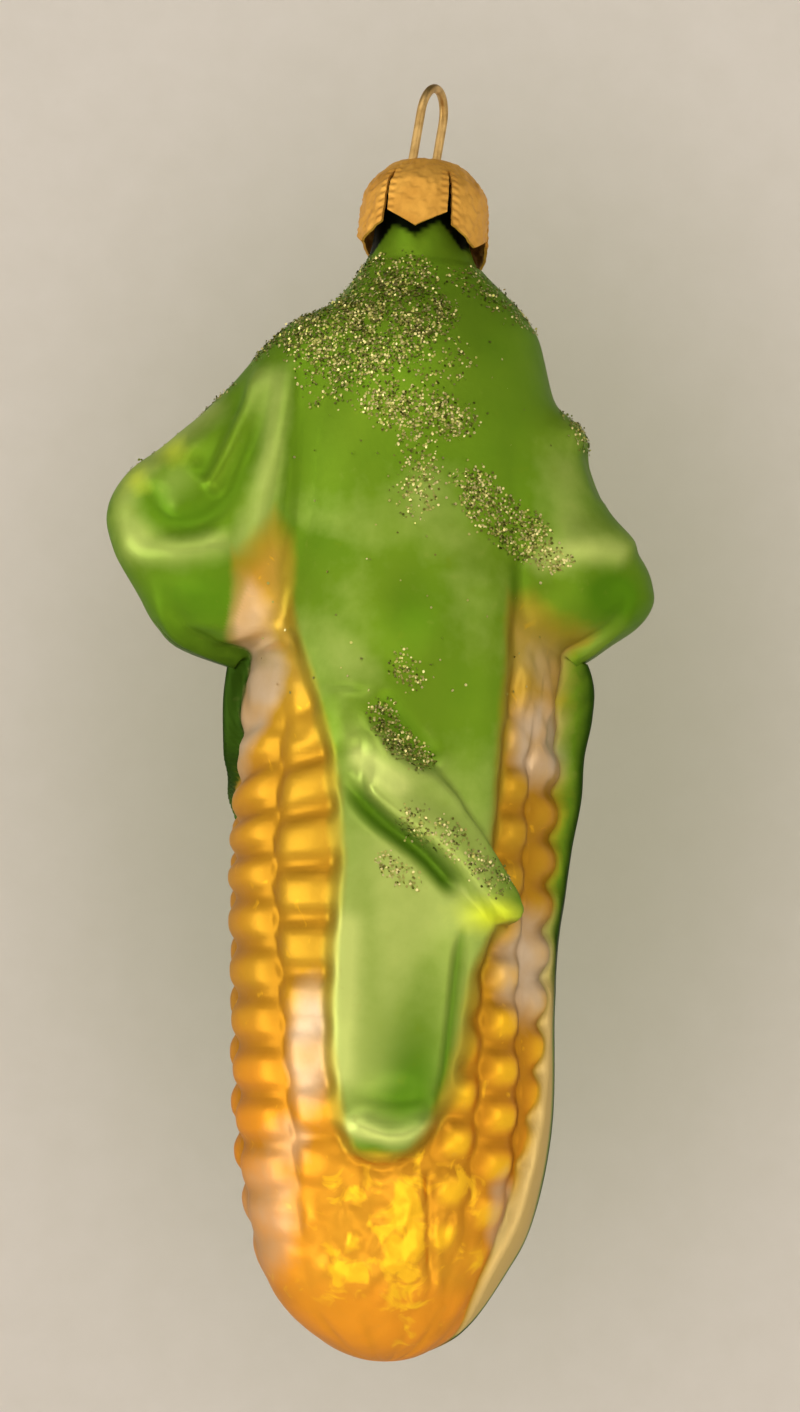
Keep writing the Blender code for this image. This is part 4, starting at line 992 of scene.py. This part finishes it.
def buildCap():
    outer = capPoints(0)
    inner = capPoints(cap["thickness"])
    count = len(outer)
    end = cap["petalColumns"]
    ringSize = cap["petals"] * (end + 1)
    faces = []

    def both(*quad):
        faces.append(quad)
        faces.append(tuple(index + count for index in reversed(quad)))

    for i in range(ringSize):
        both(0, 1 + i, 1 + (i + 1) % ringSize)
    for ring in range(cap["domeRings"] - 1):
        low = 1 + ring * ringSize
        for i in range(ringSize):
            j = (i + 1) % ringSize
            both(low + i, low + ringSize + i, low + ringSize + j, low + j)
    firstRow = 1 + (cap["domeRings"] - 1) * ringSize
    for petal in range(cap["petals"]):
        base = firstRow + petal * (end + 1)
        for row in range(cap["petalRows"]):
            low = base + row * ringSize
            high = low + ringSize
            for i in range(end):
                both(low + i, high + i, high + i + 1, low + i + 1)
            faces.append((low, low + count, high + count, high))
            faces.append((low + end, high + end, high + end + count, low + end + count))
        bottom = base + cap["petalRows"] * ringSize
        for i in range(end):
            faces.append((bottom + i, bottom + i + count, bottom + i + 1 + count, bottom + i + 1))
        nextBase = firstRow + ((petal + 1) % cap["petals"]) * (end + 1)
        faces.append((base + end, base + end + count, nextBase + count, nextBase))
    item = meshObject("stampedCap", np.concatenate([outer, inner]), faces)
    item.data.set_sharp_from_angle(angle=math.radians(cap["sharpDegrees"]))
    return item


stampedCap = buildCap()
stampedCap.data.materials.append(mottledMetal("gold anodised aluminium sheet", cap))
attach(stampedCap, "root")
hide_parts("cap")
print("cap built", len(stampedCap.data.polygons), "faces")


wire = {
    "radius": 0.45,
    "halfWidth": 3,
    "turnDegrees": 68,
    "lean": 0.14,
    "legs": [(-7, 3), (-14.5, 3), (-16.5, 3.1), (-19, 4), (-21.5, 5.2), (-23.5, 5.8)],
    "sides": 20,
    "leanFrom": -8,           # it leans to the right above this height
    "straightFrom": -7.7, "archGap": 0.3,
    # drawn spring wire with thin pale brass plating: a soft champagne line with darker drawing marks
    "colour": "d4b274", "dark": "ae8d54", "darkTone": (1, 1, 1), "toneSpots": (0.32, 0.6),
    "cloudMm": 1.2, "cloudDetail": 4, "grain": None,
    "metallic": 0.95, "roughness": 0.42,
}


def hangerPath():
    # one leg, the arch and the other leg, as distance across and height
    half = wire["halfWidth"]
    archHeight = wire["radius"] - half
    heights = np.linspace(wire["legs"][-1][0], wire["legs"][0][0], 50)
    leg = [(float(curveAt(wire["legs"], h)), h - glass["drop"]) for h in heights]
    leg += [(half, float(h)) for h in np.linspace(wire["straightFrom"], archHeight - wire["archGap"], 14)]
    arch = [(half * math.cos(a), archHeight + half * math.sin(a)) for a in np.linspace(0, math.pi, 49)]
    return leg + arch + [(-r, h) for r, h in reversed(leg)]


def buildHanger():
    turn = math.radians(wire["turnDegrees"])
    path = []
    for across, height in hangerPath():
        lean = glass["axisX"] + wire["lean"] * max(height - wire["leanFrom"], 0)
        path.append(np.array([across * math.cos(turn) + lean, across * math.sin(turn), height]))
    side = np.array([-math.sin(turn), math.cos(turn), 0])
    verts = []
    for index, point in enumerate(path):
        ahead = path[min(index + 1, len(path) - 1)] - path[max(index - 1, 0)]
        ahead = ahead / np.linalg.norm(ahead)
        lift = np.cross(ahead, side)
        lift = lift / np.linalg.norm(lift)
        flat = np.cross(lift, ahead)
        for step in range(wire["sides"]):
            angle = 2 * math.pi * step / wire["sides"]
            verts.append((point + wire["radius"] * (math.cos(angle) * flat + math.sin(angle) * lift)) * mm)
    faces = [tuple(reversed(range(wire["sides"])))]
    faces += [tuple(reversed(face)) for face in ringFaces(len(path), wire["sides"])]
    end = (len(path) - 1) * wire["sides"]
    faces.append(tuple(end + i for i in range(wire["sides"])))
    return meshObject("wireLoop", verts, faces)


wireLoop = buildHanger()
wireLoop.data.materials.append(mottledMetal("brass plated spring wire", wire))
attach(wireLoop, "root")
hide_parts("wire_hanger")
print("hanger built")


glitter = {
    "seed": 7,
    "count": 10500,
    "size": (0.09, 0.16),
    "stray": 0.002,           # a few flakes gone astray, between two heights and this near the middle
    "strayWithin": (-62, -19, 15),
    "turnedBack": 0.15, "top": -16,   # none on faces turned to the back, and none above this height
    "strokeEdge": (1.25, 0.35), "thinSpots": 0.45, "patchySpan": (-0.5, 0.4), "patches": (1, 2.6, 4),
    "tilt": 0.4, "lift": 0.05, "scatter": 0.15,
    # strokes of glue the glitter stuck to: path of x and height, reach, how thick it lies
    "strokes": [
        ([(-10.5, -25.6), (-6, -23.6), (-1.6, -20)], 3.6, 1),
        ([(-7.2, -28.6), (-2.4, -27), (1, -23.6)], 2.8, 1),
        ([(-9, -30.5), (-3, -30.5), (3, -28)], 3, 0.22),
        ([(-3, -32.8), (3.4, -33.9)], 2.5, 0.9),
        ([(0.4, -36.4), (0.2, -42.4)], 2.2, 0.5),
        ([(5.8, -40.8), (8.6, -43.4), (12.2, -45.8)], 2.4, 0.9),
        ([(14, -47.8), (15.3, -47.4)], 0.8, 0.8),
        ([(-0.4, -58.7), (0.7, -59.7)], 1.6, 0.6),
        ([(-2.5, -63.4), (-0.7, -66), (1.3, -67.8)], 1.5, 1),
        ([(0.8, -73.6), (4.4, -75.4), (9.4, -79.4)], 1.6, 0.45),
        ([(-1.8, -77.8), (0.7, -79.5)], 1.1, 0.8),
        ([(4, -18.8), (11, -22.4)], 1.7, 0.3),
        ([(15.2, -31.8), (16.8, -34.6)], 1, 0.3),
        ([(-19.5, -29.6), (-25, -33.6), (-28.6, -37.6)], 1.4, 0.22),
        ([(-13, -22.6), (-16, -26)], 1.6, 0.5),
        ([(-4.4, -17.2), (-5.6, -20)], 1.6, 0.5),
    ],
    "colours": {"pale gold": "e4dc98", "olive": "b4b562", "dark": "6e722e"},
    "shares": [0.34, 0.50, 0.16],
    # cut foil flake: a tiny flat mirror that flashes or goes dark with its tilt
    "foil": {"darkTone": (0.6, 0.6, 0.55), "toneSpots": (0.35, 0.6), "cloudMm": 1, "cloudDetail": 1,
             "grain": None, "metallic": 0.9, "roughness": 0.35},
}


def glitterDensity(x, z):
    # how thick the flakes lie, with thinner and thicker spots
    density = np.zeros(x.shape)
    for path, reach, thick in glitter["strokes"]:
        distance = pathDistance(x, z, path)[0]
        density = np.maximum(density, thick * smoothStep(*glitter["strokeEdge"], distance / reach))
    thin = glitter["thinSpots"]
    patchy = smoothStep(*glitter["patchySpan"], lumps(x, 0 * x, z, glitter["patches"]))
    return density * (thin + (1 - thin) * patchy)


def buildGlitter():
    generator = np.random.default_rng(glitter["seed"])
    mesh = glassCob.data
    count = len(mesh.polygons)
    centres, normals, areas = np.zeros(count * 3), np.zeros(count * 3), np.zeros(count)
    for name, values in (("center", centres), ("normal", normals), ("area", areas)):
        mesh.polygons.foreach_get(name, values)
    centres = centres.reshape(-1, 3)
    normals = normals.reshape(-1, 3)
    x = centres[:, 0] / mm - glass["axisX"]
    z = centres[:, 2] / mm + glass["drop"]
    low, high, wide = glitter["strayWithin"]
    density = glitterDensity(x, z) + glitter["stray"] * (z > low) * (z < high) * (np.abs(x) < wide)
    weights = density * areas * (normals[:, 1] < glitter["turnedBack"]) * (z < glitter["top"])
    picks = generator.choice(count, glitter["count"], p=weights / weights.sum())
    verts = []
    faces = []
    kinds = []
    for pick in picks:
        facing = Vector(normals[pick])
        up = (facing + Vector(generator.normal(0, glitter["tilt"], 3))).normalized()
        across = up.orthogonal().normalized()
        across.rotate(Matrix.Rotation(generator.uniform(0, math.pi), 3, up))
        along = up.cross(across)
        size = generator.uniform(*glitter["size"]) * mm
        centre = Vector(centres[pick]) + facing * glitter["lift"] * mm
        moveAcross = generator.normal(0, glitter["scatter"])
        moveAlong = generator.normal(0, glitter["scatter"])
        centre += (across * moveAcross + along * moveAlong) * mm
        start = len(verts)
        for corner in range(6):
            angle = math.pi * corner / 3
            verts.append(centre + (across * math.cos(angle) + along * math.sin(angle)) * size)
        faces.append(tuple(start + corner for corner in range(6)))
        kinds.append(int(generator.choice(3, p=glitter["shares"])))
    item = meshObject("glitterFlakes", verts, faces, smooth=False)
    item.data.polygons.foreach_set("material_index", kinds)
    return item


glitterFlakes = buildGlitter()
for flakeName, flakeColour in glitter["colours"].items():
    foil = dict(glitter["foil"], colour=flakeColour, dark=flakeColour)
    glitterFlakes.data.materials.append(mottledMetal(flakeName + " cut foil flake", foil))
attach(glitterFlakes, "root")
print("glitter built", len(glitterFlakes.data.polygons), "flakes")


stage = {
    # in metres, but for the clouds
    "radius": 1.6,
    "floor": -0.62,
    "height": 1.5,
    "bend": 0.35,
    "hole": 0.001,
    "floorRings": (0, 0.25, 0.5, 0.75, 1), "bendSteps": 12, "wallRings": (0.3, 0.6, 1), "columns": 96,
    "roughness": 0.9, "specular": 0.1,
    "cloudMm": 16.67, "cloudTone": (0.97, 0.97, 0.96),    # soft clouds in the paper, hardly seen
    "wall": "ebe7e2",
    # painted shadow on the wall behind the ornament: its colour, middle, reach, fade and strength
    "paintedShadow": "a0a488",
    "shadowCentre": (0.02, 1.6, 0.07),
    "shadowReach": (0.185, 1.5, 0.27),
    "shadowFade": (0.25, 1.6), "shadowShare": 0.68,
}


def buildStage():
    # one round sweep: pale floor running up into the wall
    inner = stage["radius"] - stage["bend"]
    top = stage["floor"] + stage["bend"]
    profile = [(max(inner * share, stage["hole"]), stage["floor"]) for share in stage["floorRings"]]
    for step in range(1, stage["bendSteps"] + 1):
        angle = math.pi * 0.5 * step / stage["bendSteps"]
        profile.append((inner + stage["bend"] * math.sin(angle), top - stage["bend"] * math.cos(angle)))
    profile += [(stage["radius"], top + (stage["height"] - top) * share) for share in stage["wallRings"]]
    columns = stage["columns"]
    verts = []
    for radius, height in profile:
        for column in range(columns):
            angle = 2 * math.pi * column / columns
            verts.append((radius * math.sin(angle), -radius * math.cos(angle), height))
    faces = [tuple(face) for face in ringFaces(len(profile), columns)]
    faces.append(tuple(range(columns)))
    return meshObject("paleSweep", verts, faces)


def stageMaterial():
    # matt paper sweep, with a painted shadow: a soft darker patch behind the ornament
    material, tree = newMaterial("matt paper sweep")
    place = addNode(tree, "TexCoord")
    clouds = addNode(tree, "TexNoise", {"Scale": 1000 / stage["cloudMm"], "Detail": 4},
                     {"Vector": (place, "Object")})
    ramp = addNode(tree, "ValToRGB", None, {"Fac": (clouds, "Fac")})
    for element, spot, tone in zip(ramp.color_ramp.elements, (0.3, 0.7), (stage["cloudTone"], (1, 1, 1))):
        element.position = spot
        element.color = hexToLinear(stage["wall"], tone)
    centred = addNode(tree, "VectorMath", {"operation": "SUBTRACT", 1: stage["shadowCentre"]},
                      {0: (place, "Object")})
    scaled = addNode(tree, "VectorMath", {"operation": "DIVIDE", 1: stage["shadowReach"]},
                     {0: (centred, "Vector")})
    away = addNode(tree, "VectorMath", {"operation": "LENGTH"}, {0: (scaled, "Vector")})
    low, high = stage["shadowFade"]
    paintedShadow = addNode(tree, "MapRange",
                    {"interpolation_type": "SMOOTHERSTEP", "From Min": low, "From Max": high,
                     "To Min": stage["shadowShare"], "To Max": 0}, {"Value": (away, "Value")})
    colour = addNode(tree, "Mix", {"data_type": "RGBA", 7: hexToLinear(stage["paintedShadow"])},
                     {0: (paintedShadow, "Result"), 6: (ramp, "Color")})
    shader = addNode(tree, "BsdfPrincipled",
                     {"Roughness": stage["roughness"], "Specular IOR Level": stage["specular"]},
                     {"Base Color": (colour, 2)})
    addNode(tree, "OutputMaterial", None, {"Surface": (shader, "BSDF")})
    return material


sweep = buildStage()
sweep.data.materials.append(stageMaterial())

lights = {
    # place, aim, width and height in metres, watts, colour
    "lowFrontSoftbox": ((0, -0.62, -0.50), (0, 0, -0.08), 0.7, 0.4, 1.4, "fff4e4"),
    "overheadSoftbox": ((-0.25, -0.65, 0.55), (0, 0, -0.06), 1.1, 0.6, 3.2, "fff6ea"),
    "leftFill": ((-0.9, -0.28, -0.22), (0, 0, -0.06), 0.6, 0.7, 3.6, "fffaf2"),
    "rightFill": ((0.75, -0.7, -0.12), (0, 0, -0.06), 0.6, 0.6, 1.4, "fff8ee"),
}
room = {"light": "f2efe8", "strength": 1}
darkCard = {"height": 1.1, "reach": 1.3, "colour": "5a5a50", "roughness": 0.9}


def buildDarkCard():
    # a dark grey card overhead, met only by reflections, keeps the upward faces in a calmer, deeper tone
    material, tree = newMaterial("dark grey card")
    shader = addNode(tree, "BsdfPrincipled",
                     {"Base Color": hexToLinear(darkCard["colour"]), "Roughness": darkCard["roughness"]})
    addNode(tree, "OutputMaterial", None, {"Surface": (shader, "BSDF")})
    reach = darkCard["reach"]
    corners = [(x, y, darkCard["height"]) for x, y in ((-reach, -reach), (reach, -reach),
                                                       (reach, reach), (-reach, reach))]
    item = meshObject("darkTopCard", corners, [(0, 3, 2, 1)])
    item.data.materials.append(material)
    item.visible_camera = False
    item.visible_diffuse = False
    item.visible_shadow = False
    item.visible_transmission = False
    return item


def buildLights():
    for name, (place, aim, width, height, watts, colour) in lights.items():
        lamp = bpy.data.lights.new(name, "AREA")
        lamp.shape = "RECTANGLE"
        lamp.size = width
        lamp.size_y = height
        lamp.energy = watts
        lamp.color = hexToLinear(colour)[:3]
        item = bpy.data.objects.new(name, lamp)
        item.location = place
        item.rotation_euler = (Vector(aim) - Vector(place)).to_track_quat("-Z", "Y").to_euler()
        bpy.context.scene.collection.objects.link(item)
    world = bpy.data.worlds.new("soft room")
    world.use_nodes = True
    background = world.node_tree.nodes["Background"]
    background.inputs["Color"].default_value = hexToLinear(room["light"])
    background.inputs["Strength"].default_value = room["strength"]
    bpy.context.scene.world = world


camera = {
    "aim": (-2, 0, -62.3),
    "distance": 450,
    "elevation": -5,          # degrees; below the ornament, looking slightly up
    "roll": 1.676,            # degrees
    "seenHeight": 141.2,      # height of what the camera sees at the ornament
    "sensor": 36,
    "nearest": 10,            # nothing nearer to the camera is drawn
}


def buildCamera():
    tilt = math.radians(camera["elevation"])
    roll = math.radians(camera["roll"])
    forward = Vector((0, math.cos(tilt), -math.sin(tilt)))
    right = Vector((1, 0, 0))
    up = Vector((0, math.sin(tilt), math.cos(tilt)))
    turnedRight = right * math.cos(roll) + up * math.sin(roll)
    turnedUp = up * math.cos(roll) - right * math.sin(roll)
    place = (Vector(camera["aim"]) - forward * camera["distance"]) * mm
    data = bpy.data.cameras.new("camera")
    data.sensor_fit = "VERTICAL"
    data.sensor_height = camera["sensor"]
    data.lens = camera["sensor"] * camera["distance"] / camera["seenHeight"]
    data.clip_start = camera["nearest"] * mm
    item = bpy.data.objects.new("camera", data)
    axes = Matrix((turnedRight, turnedUp, -forward)).transposed()
    item.matrix_world = Matrix.Translation(place) @ axes.to_4x4()
    bpy.context.scene.collection.objects.link(item)
    bpy.context.scene.camera = item


buildLights()
card = buildDarkCard()
buildCamera()
bpy.context.scene.view_settings.view_transform = "Standard"
print("stage, lights and camera ready")
